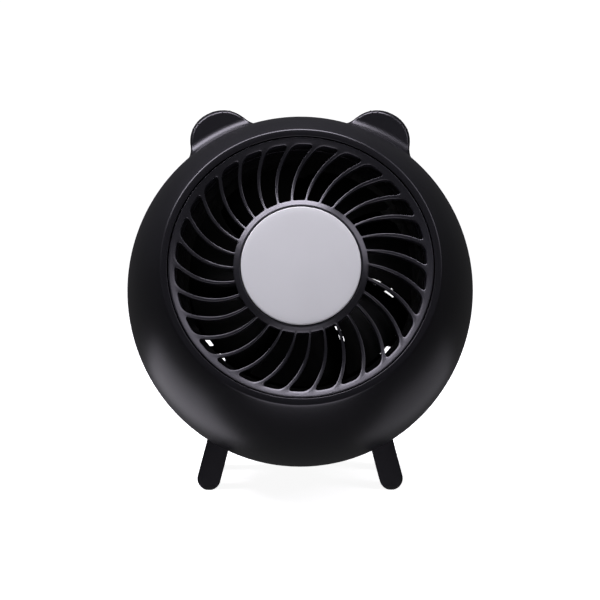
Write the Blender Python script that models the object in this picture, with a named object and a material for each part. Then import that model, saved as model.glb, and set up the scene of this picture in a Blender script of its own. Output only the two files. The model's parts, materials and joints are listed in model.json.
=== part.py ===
"""Small round desk fan with two ears on four short legs.

Metres, +Z up, the grille looks along -Y and leans back by FACE_TILT. The origin is on the
surface that the fan stands on, under the middle of its box. Pieces of the head are modelled in
the head's own frame: x to the right, y up along the grille's face, z forward along the fan axis,
with its origin at the centre of the ball. Pieces of the control recess are modelled in a frame
whose z axis points out of the back of the ball.
"""
from math import acos, asin, atan2, cos, pi, radians, sin, sqrt

import bmesh
import bpy
from mathutils import Matrix, Vector

MM = 0.001
GAP = 0.3 * MM                    # left between pieces that touch

# The ball and where it stands
BALL_R = 75 * MM
CENTRE_HEIGHT = 84.5 * MM
CENTRE_Y = 1.8 * MM               # puts the middle of the whole box over the origin
FACE_TILT = radians(14.5)         # how far the grille looks up
WALL = 2.4 * MM
FRONT_STEPS = 48                  # facets round the front half
REAR_STEPS = 60                   # and round the back half, whose slots are cells of its grid

# Front half: a superellipse, cut off flat at the rim
NOSE_LENGTH = 92.1 * MM
NOSE_POWER = 2.25
RIM_Z = 66.7 * MM
BORE_R = 53.2 * MM
LEDGE_R = 50.0 * MM
LEDGE_FRONT = 57.0 * MM
LEDGE_BACK = 53.0 * MM

# Ears: discs that stand on the ball
EAR_R = 13.85 * MM
EAR_X = 33.75 * MM
EAR_Y = 63.9 * MM
EAR_FRONT = 25.5 * MM
EAR_BACK = 15.0 * MM
EAR_ROOT_R = 72.0 * MM            # where the ear ends, inside the wall

# Grille
GRILLE_R = 52.8 * MM
SLOT_OUTER_R = 50.2 * MM
HUB_RING_R = 27.0 * MM
HUB_BORE_R = 24.3 * MM
GRILLE_FRONT = 66.2 * MM
GRILLE_TROUGH = 3.6 * MM          # how far the ribs dip between hub and ring
RIB_DEPTH = 3.0 * MM
RIB_COUNT = 30
RIB_START = radians(1.5)
RIB_SWEEP = radians(15.2)
RIB_CURL = 0.57                   # share of the sweep that grows with the square of the radius
RIB_ROOT_WIDTH = 0.9 * MM
RIB_TIP_WIDTH = 1.9 * MM
DISC_R = 24.0 * MM

# Fan frame, impeller and motor
DUCT_R = 47.6 * MM
DUCT_WALL = 1.8 * MM
DUCT_BACK = 22.0 * MM
FLANGE_R = 56.5 * MM
FLANGE_BACK = 50.7 * MM
FRAME_SCREW_R = 53.6 * MM
CUP_R = 16.0 * MM
ARM_START = 21                    # degrees from the right to the first arm
CAN_R = 13.8 * MM
CAN_BACK = 4.3 * MM
CAN_FRONT = 34.0 * MM
SHAFT_R = 1.0 * MM
BLADE_COUNT = 7
BLADE_START = radians(24.4)       # middle of the first blade at its root
BLADE_TIP_R = 45.8 * MM
IMPELLER_HUB_R = 15.0 * MM

# Screws that join the halves
HOUSING_SCREW_R = 61.0 * MM
HOUSING_SCREW_ANGLES = (30, 150, 210, 330)
SCREW_R = 1.3 * MM
SCREW_HOLE_R = SCREW_R + GAP

# Intake slots in the back: every other cell of three rings, open over the upper part
SLOT_RINGS = ((13, 20), (23, 30), (33, 40))
SLOTLESS_SECTOR = (210, 330)

# Control recess, low on the back
PANEL_DROP = radians(40)          # below the horizontal
RECESS_FLOOR = 71.0 * MM
RECESS_SIZE = (32 * MM, 13 * MM)
SOCKET_X = -8.0 * MM
BUTTON_X = 8.0 * MM
BUTTON_R = 4.2 * MM
BUTTON_TRAVEL = 1.0 * MM
BOARD_FRONT = 61.6 * MM
BOARD_BACK = 60.0 * MM
BOARD_SCREW_X = 16.0 * MM
BOARD_HALF = 19.0 * MM

# Legs and feet
LEG_WIDTH = 10.2 * MM
LEG_DEPTH = 15.0 * MM
LEG_SPLAY = radians(14.7)
LEG_END_HEIGHT = 4.95 * MM        # centre of the round end
PAD_TOP = 1.6 * MM
LEGS = {                          # name: x and y of the round end's centre, from the ball's centre
    "front_left": (-39.9 * MM, -3.5 * MM),
    "front_right": (39.9 * MM, -3.5 * MM),
    "rear_left": (-40.35 * MM, 41.5 * MM),
    "rear_right": (40.35 * MM, 41.5 * MM),
}

BLACK = ((0.022, 0.022, 0.026), 0.42, 0.0)
DARK = ((0.013, 0.013, 0.015), 0.55, 0.0)
GREY = ((0.56, 0.55, 0.60), 0.40, 0.0)
RUBBER = ((0.012, 0.012, 0.013), 0.85, 0.0)
STEEL = ((0.55, 0.55, 0.57), 0.30, 1.0)
ZINC = ((0.62, 0.63, 0.65), 0.35, 1.0)
BRONZE = ((0.55, 0.36, 0.18), 0.40, 1.0)
COPPER = ((0.72, 0.32, 0.16), 0.30, 1.0)
FERRITE = ((0.05, 0.05, 0.055), 0.70, 0.0)
CARBON = ((0.04, 0.04, 0.04), 0.60, 0.0)
BOARD_GREEN = ((0.03, 0.16, 0.07), 0.45, 0.0)
SLEEVE_BLUE = ((0.05, 0.08, 0.30), 0.40, 0.0)
WIRE_RED = ((0.45, 0.02, 0.02), 0.45, 0.0)


# ---------------------------------------------------------------- tools for making pieces

def clear_scene():
    for obj in list(bpy.data.objects):
        bpy.data.objects.remove(obj, do_unlink=True)


def make_material(name, finish):
    colour, roughness, metallic = finish
    material = bpy.data.materials.new(name)
    material.use_nodes = True
    shader = material.node_tree.nodes["Principled BSDF"]
    shader.inputs["Base Color"].default_value = (*colour, 1.0)
    shader.inputs["Roughness"].default_value = roughness
    shader.inputs["Metallic"].default_value = metallic
    return material


def make_empty(name, matrix):
    empty = bpy.data.objects.new(name, None)
    bpy.context.collection.objects.link(empty)
    empty.matrix_world = matrix
    return empty


def make_object(name, mesh, finish, parent=None, origin=(0, 0, 0)):
    """Put a mesh in the scene; a mesh without a finish is a tool for cutting or joining."""
    bm = bmesh.new()
    bm.from_mesh(mesh)
    bmesh.ops.remove_doubles(bm, verts=bm.verts, dist=1e-6)
    bmesh.ops.recalc_face_normals(bm, faces=bm.faces)
    bm.to_mesh(mesh)
    bm.free()
    obj = bpy.data.objects.new(name, mesh)
    bpy.context.collection.objects.link(obj)
    obj.parent = parent
    obj.location = origin
    if finish is None:
        obj.hide_render = True
        obj.display_type = "WIRE"
    else:
        mesh.shade_smooth()
        mesh.set_sharp_from_angle(angle=radians(32))
        mesh.materials.append(make_material(name, finish))
    return obj


def mesh_from(name, verts, faces):
    mesh = bpy.data.meshes.new(name)
    mesh.from_pydata(verts, [], faces)
    return mesh


def turned(name, profile, steps, finish=None, parent=None, origin=(0, 0, 0), offset=(0, 0), phase=0.0):
    """Turn a closed profile of (radius, height) points round the z axis through offset.

    phase turns the facets, so that a tool's edges don't lie on the edges that it meets.
    """
    verts = []
    rings = []
    for radius, height in profile:
        if radius < 1e-7:
            rings.append([len(verts)] * steps)
            verts.append((offset[0], offset[1], height))
            continue
        rings.append(list(range(len(verts), len(verts) + steps)))
        for i in range(steps):
            angle = phase + 2 * pi * i / steps
            verts.append((offset[0] + radius * cos(angle), offset[1] + radius * sin(angle), height))
    faces = []
    for lower, upper in zip(rings, rings[1:] + rings[:1]):
        for i in range(steps):
            j = (i + 1) % steps
            corners = list(dict.fromkeys((lower[i], lower[j], upper[j], upper[i])))
            if len(corners) > 2:
                faces.append(corners)
    return make_object(name, mesh_from(name, verts, faces), finish, parent, origin)


def prism(name, outline, low, high, finish=None, parent=None, origin=(0, 0, 0)):
    """Raise a flat outline of (x, y) points from z = low to z = high."""
    count = len(outline)
    verts = [(x, y, low) for x, y in outline] + [(x, y, high) for x, y in outline]
    faces = [list(range(count)), list(range(count, 2 * count))]
    for i in range(count):
        j = (i + 1) % count
        faces.append([i, j, j + count, i + count])
    return make_object(name, mesh_from(name, verts, faces), finish, parent, origin)


def block(name, low, high, finish=None, parent=None, origin=(0, 0, 0)):
    corners = [(low[0], low[1]), (high[0], low[1]), (high[0], high[1]), (low[0], high[1])]
    return prism(name, corners, low[2], high[2], finish, parent, origin)


def rod(name, radius, low, high, steps=12, finish=None, parent=None, offset=(0, 0)):
    profile = [(0, low), (radius, low), (radius, high), (0, high)]
    return turned(name, profile, steps, finish, parent, (0, 0, 0), offset, radians(7))


def arc(radius, start, end, count, centre=(0, 0)):
    """Points on an arc, angles in radians, both ends included."""
    points = []
    for i in range(count + 1):
        angle = start + (end - start) * i / count
        points.append((centre[0] + radius * cos(angle), centre[1] + radius * sin(angle)))
    return points


def boolean(target, tool, operation):
    modifier = target.modifiers.new(tool.name, "BOOLEAN")
    modifier.operation = operation
    modifier.solver = "EXACT"
    modifier.object = tool


def join(target, tool):
    boolean(target, tool, "UNION")


def cut(target, tool):
    boolean(target, tool, "DIFFERENCE")


def around(degrees, radius):
    return (radius * cos(radians(degrees)), radius * sin(radians(degrees)))


# ---------------------------------------------------------------- frames

def head_matrix():
    """The head's frame: x right, y up the face, z forward along the fan axis."""
    turn = Matrix.Rotation(radians(90) - FACE_TILT, 4, "X")
    return Matrix.Translation((0, CENTRE_Y, CENTRE_HEIGHT)) @ turn


def panel_matrix():
    """The control recess's frame: z out of the back, PANEL_DROP below the horizontal."""
    outward = Vector((0, cos(PANEL_DROP), -sin(PANEL_DROP)))
    upward = Vector((0, sin(PANEL_DROP), cos(PANEL_DROP)))
    across = upward.cross(outward)
    turn = Matrix((across, upward, outward)).transposed().to_4x4()
    return Matrix.Translation((0, CENTRE_Y, CENTRE_HEIGHT)) @ turn


def aimed_matrix(direction):
    """A frame at the ball's centre whose z axis points along direction."""
    turn = Vector(direction).to_track_quat("Z", "Y").to_matrix().to_4x4()
    return Matrix.Translation((0, CENTRE_Y, CENTRE_HEIGHT)) @ turn


# ---------------------------------------------------------------- the housings

def nose_radius(z, inset=0.0):
    """Radius of the front half at height z on the fan axis."""
    share = (z / (NOSE_LENGTH - inset)) ** NOSE_POWER
    return (BALL_R - inset) * (1 - share) ** (1 / NOSE_POWER)


def nose_profile(first, last, count, inset=0.0):
    """Points of the front half from z = first to z = last, spaced evenly in angle."""
    length = NOSE_LENGTH - inset
    start = asin((first / length) ** (NOSE_POWER / 2))
    end = asin((last / length) ** (NOSE_POWER / 2))
    points = []
    for i in range(count + 1):
        angle = start + (end - start) * i / count
        z = length * sin(angle) ** (2 / NOSE_POWER)
        points.append((nose_radius(z, inset), z))
    return points


def make_front_housing(head):
    profile = nose_profile(GAP / 2, RIM_Z, 8)
    profile += [(BORE_R, RIM_Z), (BORE_R, LEDGE_FRONT), (LEDGE_R, LEDGE_FRONT), (LEDGE_R, LEDGE_BACK)]
    profile += reversed(nose_profile(GAP / 2, LEDGE_BACK, 5, WALL))
    housing = turned("front_housing", profile, FRONT_STEPS, BLACK, head)
    for side, sign in (("left", -1), ("right", 1)):
        join(housing, make_ear(f"ear_tool_{side}", sign, head))
    for number, degrees in enumerate(HOUSING_SCREW_ANGLES, 1):
        place = around(degrees, HOUSING_SCREW_R)
        join(housing, rod(f"post_tool_{number}", 3.4 * MM, GAP / 2, 51.6 * MM, 10, None, head, place))
    for number, degrees in enumerate(HOUSING_SCREW_ANGLES, 1):
        place = around(degrees, HOUSING_SCREW_R)
        cut(housing, rod(f"post_hole_{number}", SCREW_HOLE_R, -5 * MM, 14 * MM, 8, None, head, place))
    for number in range(4):
        place = around(45 + 90 * number, FRAME_SCREW_R)
        hole = rod(f"ledge_hole_{number}", 1.1 * MM + GAP, 45 * MM, 56.2 * MM, 8, None, head, place)
        cut(housing, hole)
    return housing


def make_ear(name, sign, head):
    """The disc of one ear, from its edge down into the wall of the ball."""
    reach = sqrt(EAR_X ** 2 + EAR_Y ** 2)
    lean = atan2(EAR_Y, EAR_X)
    drop = acos((EAR_R ** 2 + reach ** 2 - EAR_ROOT_R ** 2) / (2 * EAR_R * reach))
    spread = acos((EAR_ROOT_R ** 2 + reach ** 2 - EAR_R ** 2) / (2 * EAR_ROOT_R * reach))
    outline = arc(EAR_R, lean + pi + drop, lean + 3 * pi - drop, 22, (EAR_X, EAR_Y))
    outline += arc(EAR_ROOT_R, lean + spread, lean - spread, 4)[1:-1]
    outline = [(sign * x, y) for x, y in outline]
    return prism(name, outline, EAR_BACK, EAR_FRONT, None, head)


def make_rear_housing(head, panel):
    housing = make_object("rear_housing", slotted_bowl(), BLACK, head)
    pad = block("recess_pad", (-BOARD_HALF, -8.5 * MM, RECESS_FLOOR - 2 * MM),
                (BOARD_HALF, 8.5 * MM, 73.4 * MM), None, panel)
    join(housing, pad)
    for number, x in enumerate((-BOARD_SCREW_X, BOARD_SCREW_X), 1):
        join(housing, rod(f"board_post_{number}", 2.4 * MM, BOARD_FRONT + GAP, RECESS_FLOOR - 1 * MM, 10,
                          None, panel, (x, 0)))
    for number, degrees in enumerate(HOUSING_SCREW_ANGLES, 1):
        place = around(degrees, HOUSING_SCREW_R)
        join(housing, rod(f"tube_tool_{number}", 4.4 * MM, -42 * MM, -GAP / 2, 10, None, head, place))
    width, height = RECESS_SIZE
    cut(housing, block("recess_cut", (-width / 2, -height / 2, RECESS_FLOOR),
                       (width / 2, height / 2, BALL_R + 5 * MM), None, panel))
    cut(housing, block("socket_hole", (SOCKET_X - 5.1 * MM, -2.2 * MM, 60 * MM),
                       (SOCKET_X + 5.1 * MM, 2.2 * MM, 80 * MM), None, panel))
    cut(housing, rod("button_hole", BUTTON_R + GAP, 60 * MM, 80 * MM, 20, None, panel, (BUTTON_X, 0)))
    for number, x in enumerate((-BOARD_SCREW_X, BOARD_SCREW_X), 1):
        hole = rod(f"board_post_hole_{number}", 1.0 * MM + GAP, 55 * MM, 67 * MM, 8, None, panel, (x, 0))
        cut(housing, hole)
    for number, degrees in enumerate(HOUSING_SCREW_ANGLES, 1):
        place = around(degrees, HOUSING_SCREW_R)
        stepped = [(0, -60 * MM), (3.0 * MM, -60 * MM), (3.0 * MM, -10 * MM), (SCREW_HOLE_R, -10 * MM),
                   (SCREW_HOLE_R, 5 * MM), (0, 5 * MM)]
        cut(housing, turned(f"tube_hole_{number}", stepped, 8, None, head, (0, 0, 0), place, radians(7)))
    for name, frame in leg_frames().items():
        cut(housing, rod(f"wall_hole_{name}", SCREW_HOLE_R, 60 * MM, 80 * MM, 8, None, frame))
    return housing


def slotted_bowl():
    """The rear half: a round shell as a grid of cells, with the cells of the slots left open."""
    edges = [d for ring in SLOT_RINGS for d in ring]
    levels = [radians(d) for d in edges + [52, 65, 78]]
    levels.append(acos(GAP / 2 / BALL_R))
    shells = []
    verts = []
    for radius in (BALL_R, BALL_R - WALL):
        rings = []
        for level in levels:
            rings.append(list(range(len(verts), len(verts) + REAR_STEPS)))
            for i in range(REAR_STEPS):
                angle = 2 * pi * i / REAR_STEPS
                height = -radius * cos(level)
                if level == levels[-1]:
                    height = -GAP / 2
                flat = radius * sin(level)
                verts.append((flat * cos(angle), flat * sin(angle), height))
        pole = len(verts)
        verts.append((0, 0, -radius))
        shells.append((rings, pole))
    open_cells = set()
    for row, ring in enumerate(zip(edges, edges[1:])):
        for i in range(0, REAR_STEPS, 2):
            middle = 360 * (i + 0.5) / REAR_STEPS
            if ring in SLOT_RINGS and not SLOTLESS_SECTOR[0] < middle < SLOTLESS_SECTOR[1]:
                open_cells.add((row, i))
    faces = []
    (outer, outer_pole), (inner, inner_pole) = shells
    for i in range(REAR_STEPS):
        j = (i + 1) % REAR_STEPS
        faces.append([outer_pole, outer[0][i], outer[0][j]])
        faces.append([inner_pole, inner[0][j], inner[0][i]])
        faces.append([outer[-1][i], outer[-1][j], inner[-1][j], inner[-1][i]])
        for row in range(len(levels) - 1):
            if (row, i) not in open_cells:
                faces.append([outer[row][i], outer[row][j], outer[row + 1][j], outer[row + 1][i]])
                faces.append([inner[row][j], inner[row][i], inner[row + 1][i], inner[row + 1][j]])
                continue
            corners = [(row, i), (row, j), (row + 1, j), (row + 1, i)]
            for (row_a, a), (row_b, b) in zip(corners, corners[1:] + corners[:1]):
                faces.append([outer[row_a][a], outer[row_b][b], inner[row_b][b], inner[row_a][a]])
    return mesh_from("rear_housing", verts, faces)


# ---------------------------------------------------------------- grille

def rib_angle(share):
    """Angle of a rib's middle line, share = 0 at the hub ring and 1 at the outer ring."""
    return RIB_START - RIB_SWEEP * ((1 - RIB_CURL) * share + RIB_CURL * share ** 2)


def grille_height(radius):
    """Front face of the grille: level at the hub and the ring, dipping in a trough between."""
    share = (radius - HUB_RING_R) / (SLOT_OUTER_R - HUB_RING_R)
    share = min(max(share, 0.0), 1.0)
    return GRILLE_FRONT - GRILLE_TROUGH * sin(pi * share)


def make_front_grille(head):
    """One sector of 12 degrees holds one rib and one slot; the loop closes the ring."""
    verts = []
    stations = 4
    radii = [HUB_RING_R + (SLOT_OUTER_R - HUB_RING_R) * k / stations for k in range(stations + 1)]
    columns = [HUB_BORE_R] + radii + [GRILLE_R]

    def add_layer(depth_of):
        """Per sector, the rib's left and right points at every radius."""
        layer = []
        for n in range(RIB_COUNT):
            left = []
            right = []
            for k, radius in enumerate(columns):
                share = min(max((k - 1) / stations, 0.0), 1.0)
                half = (RIB_ROOT_WIDTH + (RIB_TIP_WIDTH - RIB_ROOT_WIDTH) * share) / 2 / radius
                middle = 2 * pi * n / RIB_COUNT + rib_angle(share)
                for side, angle in ((left, middle + half), (right, middle - half)):
                    side.append(len(verts))
                    verts.append((radius * cos(angle), radius * sin(angle), depth_of(k, radius)))
            layer.append((left, right))
        return layer

    def back_depth(k, radius):
        if k <= 1:
            return GRILLE_FRONT - 6.2 * MM
        if k >= stations + 1:
            return LEDGE_FRONT + GAP
        return grille_height(radius) - RIB_DEPTH

    front = add_layer(lambda k, radius: grille_height(radius))
    back = add_layer(back_depth)
    faces = []
    last = len(columns) - 1
    for n in range(RIB_COUNT):
        m = (n + 1) % RIB_COUNT
        for layer in (front, back):
            left, right = layer[n]
            next_right = layer[m][1]
            for k in range(last):
                faces.append([left[k], left[k + 1], right[k + 1], right[k]])
            for k in (0, last - 1):
                faces.append([left[k], left[k + 1], next_right[k + 1], next_right[k]])
        for k in range(1, last - 1):
            for side in (0, 1):
                near = front[n][side]
                far = back[n][side]
                faces.append([near[k], near[k + 1], far[k + 1], far[k]])
        for k in (0, 1, last - 1, last):
            near_left, near_right = front[n][0][k], front[m][1][k]
            far_left, far_right = back[n][0][k], back[m][1][k]
            faces.append([near_left, near_right, far_right, far_left])
        for k in (0, last):
            faces.append([front[n][0][k], front[n][1][k], back[n][1][k], back[n][0][k]])
    grille = make_object("front_grille", mesh_from("front_grille", verts, faces), BLACK, head)
    floor = [(8.6 * MM, 60.2 * MM), (HUB_BORE_R + 1.0 * MM, 60.2 * MM), (HUB_BORE_R + 1.0 * MM, 62.2 * MM),
             (8.6 * MM, 62.2 * MM)]
    join(grille, turned("hub_floor", floor, 30, None, head))
    return grille


def make_grille_disc(head):
    profile = [(0, 67.0 * MM), (21.5 * MM, 66.9 * MM), (DISC_R - 0.6 * MM, 66.7 * MM), (DISC_R, 66.2 * MM),
               (DISC_R, 64.4 * MM), (8.2 * MM, 64.4 * MM), (8.2 * MM, 60.6 * MM), (6.2 * MM, 60.6 * MM),
               (6.2 * MM, 64.4 * MM), (0, 64.4 * MM)]
    return turned("grille_disc", profile, 36, GREY, head)


# ---------------------------------------------------------------- fan frame and impeller

def make_fan_frame(head):
    """Duct ring with a flange in front, joined by four arms to the cup that holds the motor."""
    flange_front = LEDGE_BACK - GAP
    outer = DUCT_R + DUCT_WALL
    ring = [(DUCT_R, DUCT_BACK), (outer, DUCT_BACK), (outer, FLANGE_BACK), (FLANGE_R, FLANGE_BACK),
            (FLANGE_R, flange_front), (DUCT_R, flange_front)]
    frame = turned("fan_frame", ring, 40, DARK, head)
    plate_back = CAN_FRONT + GAP
    cup = [(CAN_R + GAP, 22 * MM), (CUP_R, 22 * MM), (CUP_R, plate_back + 2 * MM),
           (4 * MM, plate_back + 2 * MM), (4 * MM, plate_back), (CAN_R + GAP, plate_back)]
    arms = []
    for number in range(4):
        x, y = around(ARM_START + 90 * number, 1)
        across = Vector((-y, x)) * 1.5 * MM
        inner, far = Vector((x, y)) * (CAN_R + 1.2 * MM), Vector((x, y)) * (DUCT_R + 0.9 * MM)
        outline = [tuple(p) for p in (inner - across, far - across, far + across, inner + across)]
        arms.append(prism(f"arm_{number}", outline, 24 * MM, 31 * MM, None, head))
    for arm in arms:
        join(frame, arm)
    join(frame, turned("cup_tool", cup, 24, None, head))
    for number in range(4):
        place = around(45 + 90 * number, FRAME_SCREW_R)
        cut(frame, rod(f"flange_hole_{number}", 1.1 * MM + GAP, 45 * MM, 60 * MM, 8, None, head, place))
    for number, x in enumerate((-8 * MM, 8 * MM)):
        cut(frame, rod(f"plate_hole_{number}", 1.0 * MM + GAP, 33 * MM, 40 * MM, 8, None, head, (x, 0)))
    return frame


def make_impeller(head):
    """Hub cup with seven pitched blades; turns on the fan axis."""
    base = 37.6 * MM
    hub = [(SHAFT_R + 0.05 * MM, 41 * MM), (4 * MM, 41 * MM), (4 * MM, 51 * MM), (12.8 * MM, 51 * MM),
           (12.8 * MM, base), (IMPELLER_HUB_R, base), (IMPELLER_HUB_R, 50 * MM), (12 * MM, 53 * MM),
           (SHAFT_R + 0.05 * MM, 53 * MM)]
    hub = [(r, z - base) for r, z in hub]
    impeller = turned("impeller", hub, 28, DARK, head, (0, 0, base))
    for number in range(BLADE_COUNT):
        mesh = blade_mesh(f"blade_{number}", BLADE_START + 2 * pi * number / BLADE_COUNT)
        join(impeller, make_object(f"blade_{number}", mesh, None, head, (0, 0, base)))
    return impeller


def blade_mesh(name, start):
    """A broad twisted blade: steep at the hub, flatter and swept back at the tip."""
    thick = 1.3 * MM
    stations = 4
    chords = 3
    verts = []
    for side in (0, 1):
        for s in range(stations + 1):
            share = s / stations
            radius = 14 * MM + (BLADE_TIP_R - 14 * MM) * share
            span = radians(49.5 - 1.5 * share)
            sweep = radians(-16) * share ** 2
            for c in range(chords + 1):
                along = c / chords - 0.5
                angle = start + sweep + span * along
                height = 7.2 * MM - 12.0 * MM * along * (1 - 0.28 * share) + thick * (side - 0.5)
                verts.append((radius * cos(angle), radius * sin(angle), height))
    row = chords + 1
    layer = row * (stations + 1)
    faces = []
    for s in range(stations):
        for c in range(chords):
            a = s * row + c
            faces.append([a, a + 1, a + row + 1, a + row])
            faces.append([layer + a, layer + a + row, layer + a + row + 1, layer + a + 1])
    rim = [c for c in range(row)]
    rim += [s * row + chords for s in range(1, stations + 1)]
    rim += [stations * row + c for c in range(chords - 1, -1, -1)]
    rim += [s * row for s in range(stations - 1, 0, -1)]
    for a, b in zip(rim, rim[1:] + rim[:1]):
        faces.append([a, b, layer + b, layer + a])
    return mesh_from(name, verts, faces)


# ---------------------------------------------------------------- motor

def make_motor(head):
    wall = 0.9 * MM
    can = [(CAN_R, CAN_BACK), (CAN_R, CAN_FRONT), (3.6 * MM, CAN_FRONT), (3.6 * MM, CAN_FRONT - wall),
           (CAN_R - wall, CAN_FRONT - wall), (CAN_R - wall, CAN_BACK)]
    shell = turned("motor_can", can, 24, ZINC, head)
    for number, x in enumerate((-8 * MM, 8 * MM)):
        cut(shell, rod(f"can_hole_{number}", 1.0 * MM + GAP, 30 * MM, 36 * MM, 8, None, head, (x, 0)))
    cap = [(3.3 * MM, 1.6 * MM), (CAN_R, 1.6 * MM), (CAN_R, CAN_BACK - GAP), (3.3 * MM, CAN_BACK - GAP)]
    turned("motor_end_cap", cap, 24, DARK, head)
    for name, low, high in (("rear_bearing", 1.2 * MM, 4.6 * MM), ("front_bearing", 31.4 * MM, 35.2 * MM)):
        ring = [(SHAFT_R + 0.05 * MM, low), (3.0 * MM, low), (3.0 * MM, high), (SHAFT_R + 0.05 * MM, high)]
        turned(name, ring, 16, BRONZE, head)
    rod("motor_shaft", SHAFT_R, 0.6 * MM, 57.5 * MM, 16, STEEL, head)
    for name, middle in (("magnet_right", 0), ("magnet_left", 180)):
        start, end = radians(middle - 62), radians(middle + 62)
        outline = arc(12.6 * MM, start, end, 8) + arc(10.4 * MM, end, start, 8)
        prism(name, outline, 12 * MM, 29 * MM, FERRITE, head)
    make_rotor(head)
    for name, side in (("brush_right", 1), ("brush_left", -1)):
        low, high = sorted((side * 3.5 * MM, side * 8.0 * MM))
        block(name, (low, -1.0 * MM, CAN_BACK + GAP), (high, 1.0 * MM, 7.6 * MM), CARBON, head)


def make_rotor(head):
    """Three-pole armature: laminated core, a coil on each pole, and the commutator behind."""
    neck = 2.0 * MM
    poles = [radians(90 + 120 * number) for number in range(3)]
    pole = arc(9.6 * MM, radians(-46), radians(46), 6)
    pole = [(3.2 * MM, -neck), (7.6 * MM, -neck)] + pole + [(7.6 * MM, neck), (3.2 * MM, neck)]
    outline = []
    for angle in poles:
        outline += [(x * cos(angle) - y * sin(angle), x * sin(angle) + y * cos(angle)) for x, y in pole]
    core = prism("rotor_core", outline, 13 * MM, 28 * MM, STEEL, head)
    cut(core, rod("core_bore", SHAFT_R + 0.05 * MM, 10 * MM, 31 * MM, 12, None, head))
    for number, angle in enumerate(poles, 1):
        turn = Matrix.Rotation(angle, 4, "Z")
        coil = block(f"winding_{number}", (4.4 * MM, -4.2 * MM, 11.2 * MM), (6.7 * MM, 4.2 * MM, 29.8 * MM),
                     COPPER, head)
        coil.data.transform(turn)
        slot = block(f"coil_slot_{number}", (0, -neck - GAP, 12.7 * MM), (10 * MM, neck + GAP, 28.3 * MM),
                     None, head)
        slot.data.transform(turn)
        cut(coil, slot)
    ring = [(SHAFT_R + 0.05 * MM, CAN_BACK + 0.9 * MM), (3.2 * MM, CAN_BACK + 0.9 * MM), (3.2 * MM, 9 * MM),
            (SHAFT_R + 0.05 * MM, 9 * MM)]
    turned("commutator", ring, 18, COPPER, head)


# ---------------------------------------------------------------- controls

def make_controls(panel):
    board = block("control_board", (-BOARD_HALF, -8 * MM, BOARD_BACK), (BOARD_HALF, 8 * MM, BOARD_FRONT),
                  BOARD_GREEN, panel)
    for number, x in enumerate((-BOARD_SCREW_X, BOARD_SCREW_X), 1):
        cut(board, rod(f"board_hole_{number}", 1.0 * MM + GAP, 55 * MM, 65 * MM, 8, None, panel, (x, 0)))
    low, high = BOARD_FRONT + GAP, RECESS_FLOOR - 0.1 * MM
    socket = block("power_socket", (SOCKET_X - 4.7 * MM, -1.8 * MM, low),
                   (SOCKET_X + 4.7 * MM, 1.8 * MM, high), ZINC, panel)
    cut(socket, block("socket_mouth", (SOCKET_X - 4.2 * MM, -1.3 * MM, high - 6.5 * MM),
                      (SOCKET_X + 4.2 * MM, 1.3 * MM, high + 2 * MM), None, panel))
    switch_top = BOARD_FRONT + 4.6 * MM
    block("button_switch", (BUTTON_X - 3 * MM, -3 * MM, low), (BUTTON_X + 3 * MM, 3 * MM, switch_top), DARK,
          panel)
    under = RECESS_FLOOR - 2 * MM - GAP
    base = switch_top + BUTTON_TRAVEL + GAP
    top = RECESS_FLOOR + 2.6 * MM
    cap = [(0, base), (BUTTON_R + 0.6 * MM, base), (BUTTON_R + 0.6 * MM, under), (BUTTON_R, under),
           (BUTTON_R, top - 0.6 * MM), (BUTTON_R - 0.6 * MM, top), (0, top + 0.1 * MM)]
    cap = [(r, z - base) for r, z in cap]
    turned("power_button", cap, 20, BLACK, panel, (BUTTON_X, 0, base))
    rod("capacitor", 3 * MM, 50 * MM, BOARD_BACK - GAP, 12, SLEEVE_BLUE, panel, (7 * MM, 1 * MM))
    block("driver_chip", (-8 * MM, -3 * MM, BOARD_BACK - GAP - 1.3 * MM),
          (-3 * MM, 2 * MM, BOARD_BACK - GAP), CARBON, panel)


def make_leads(head, panel):
    """Two leads from the motor's end cap down to the board, each on one smooth curve."""
    for name, side in (("motor_lead_right", 1), ("motor_lead_left", -1)):
        start = head.matrix_world @ Vector((side * 6.5 * MM, -4 * MM, 0.6 * MM))
        end = panel.matrix_world @ Vector((-side * 1.4 * MM, 4.6 * MM, BOARD_BACK - GAP - 0.2 * MM))
        leave = head.matrix_world.to_3x3() @ Vector((0, 0, -22 * MM))
        arrive = panel.matrix_world.to_3x3() @ Vector((0, 6 * MM, -20 * MM))
        curve = bpy.data.curves.new(name, "CURVE")
        curve.dimensions = "3D"
        curve.bevel_depth = 0.7 * MM
        curve.bevel_resolution = 1
        curve.use_fill_caps = True
        spline = curve.splines.new("POLY")
        count = 14
        spline.points.add(count)
        for i in range(count + 1):
            t = i / count
            near, far = start + leave, end + arrive
            point = ((1 - t) ** 3 * start + 3 * t * (1 - t) ** 2 * near + 3 * t ** 2 * (1 - t) * far
                     + t ** 3 * end)
            spline.points[i].co = (*point, 1)
        lead = bpy.data.objects.new(name, curve)
        bpy.context.collection.objects.link(lead)
        curve.materials.append(make_material(name, WIRE_RED if side > 0 else BLACK))


# ---------------------------------------------------------------- legs

def leg_axis(name):
    """Centre of the round end and the direction up the leg, in world coordinates."""
    x, y = LEGS[name]
    side = 1 if x > 0 else -1
    end = Vector((x, CENTRE_Y + y, LEG_END_HEIGHT))
    return end, Vector((-side * sin(LEG_SPLAY), 0, cos(LEG_SPLAY)))


def leg_root(name):
    """Where the leg's middle line meets the ball."""
    end, up = leg_axis(name)
    offset = end - Vector((0, CENTRE_Y, CENTRE_HEIGHT))
    along = offset.dot(up)
    return end + up * (-along - sqrt(along ** 2 - offset.length_squared + BALL_R ** 2))


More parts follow.
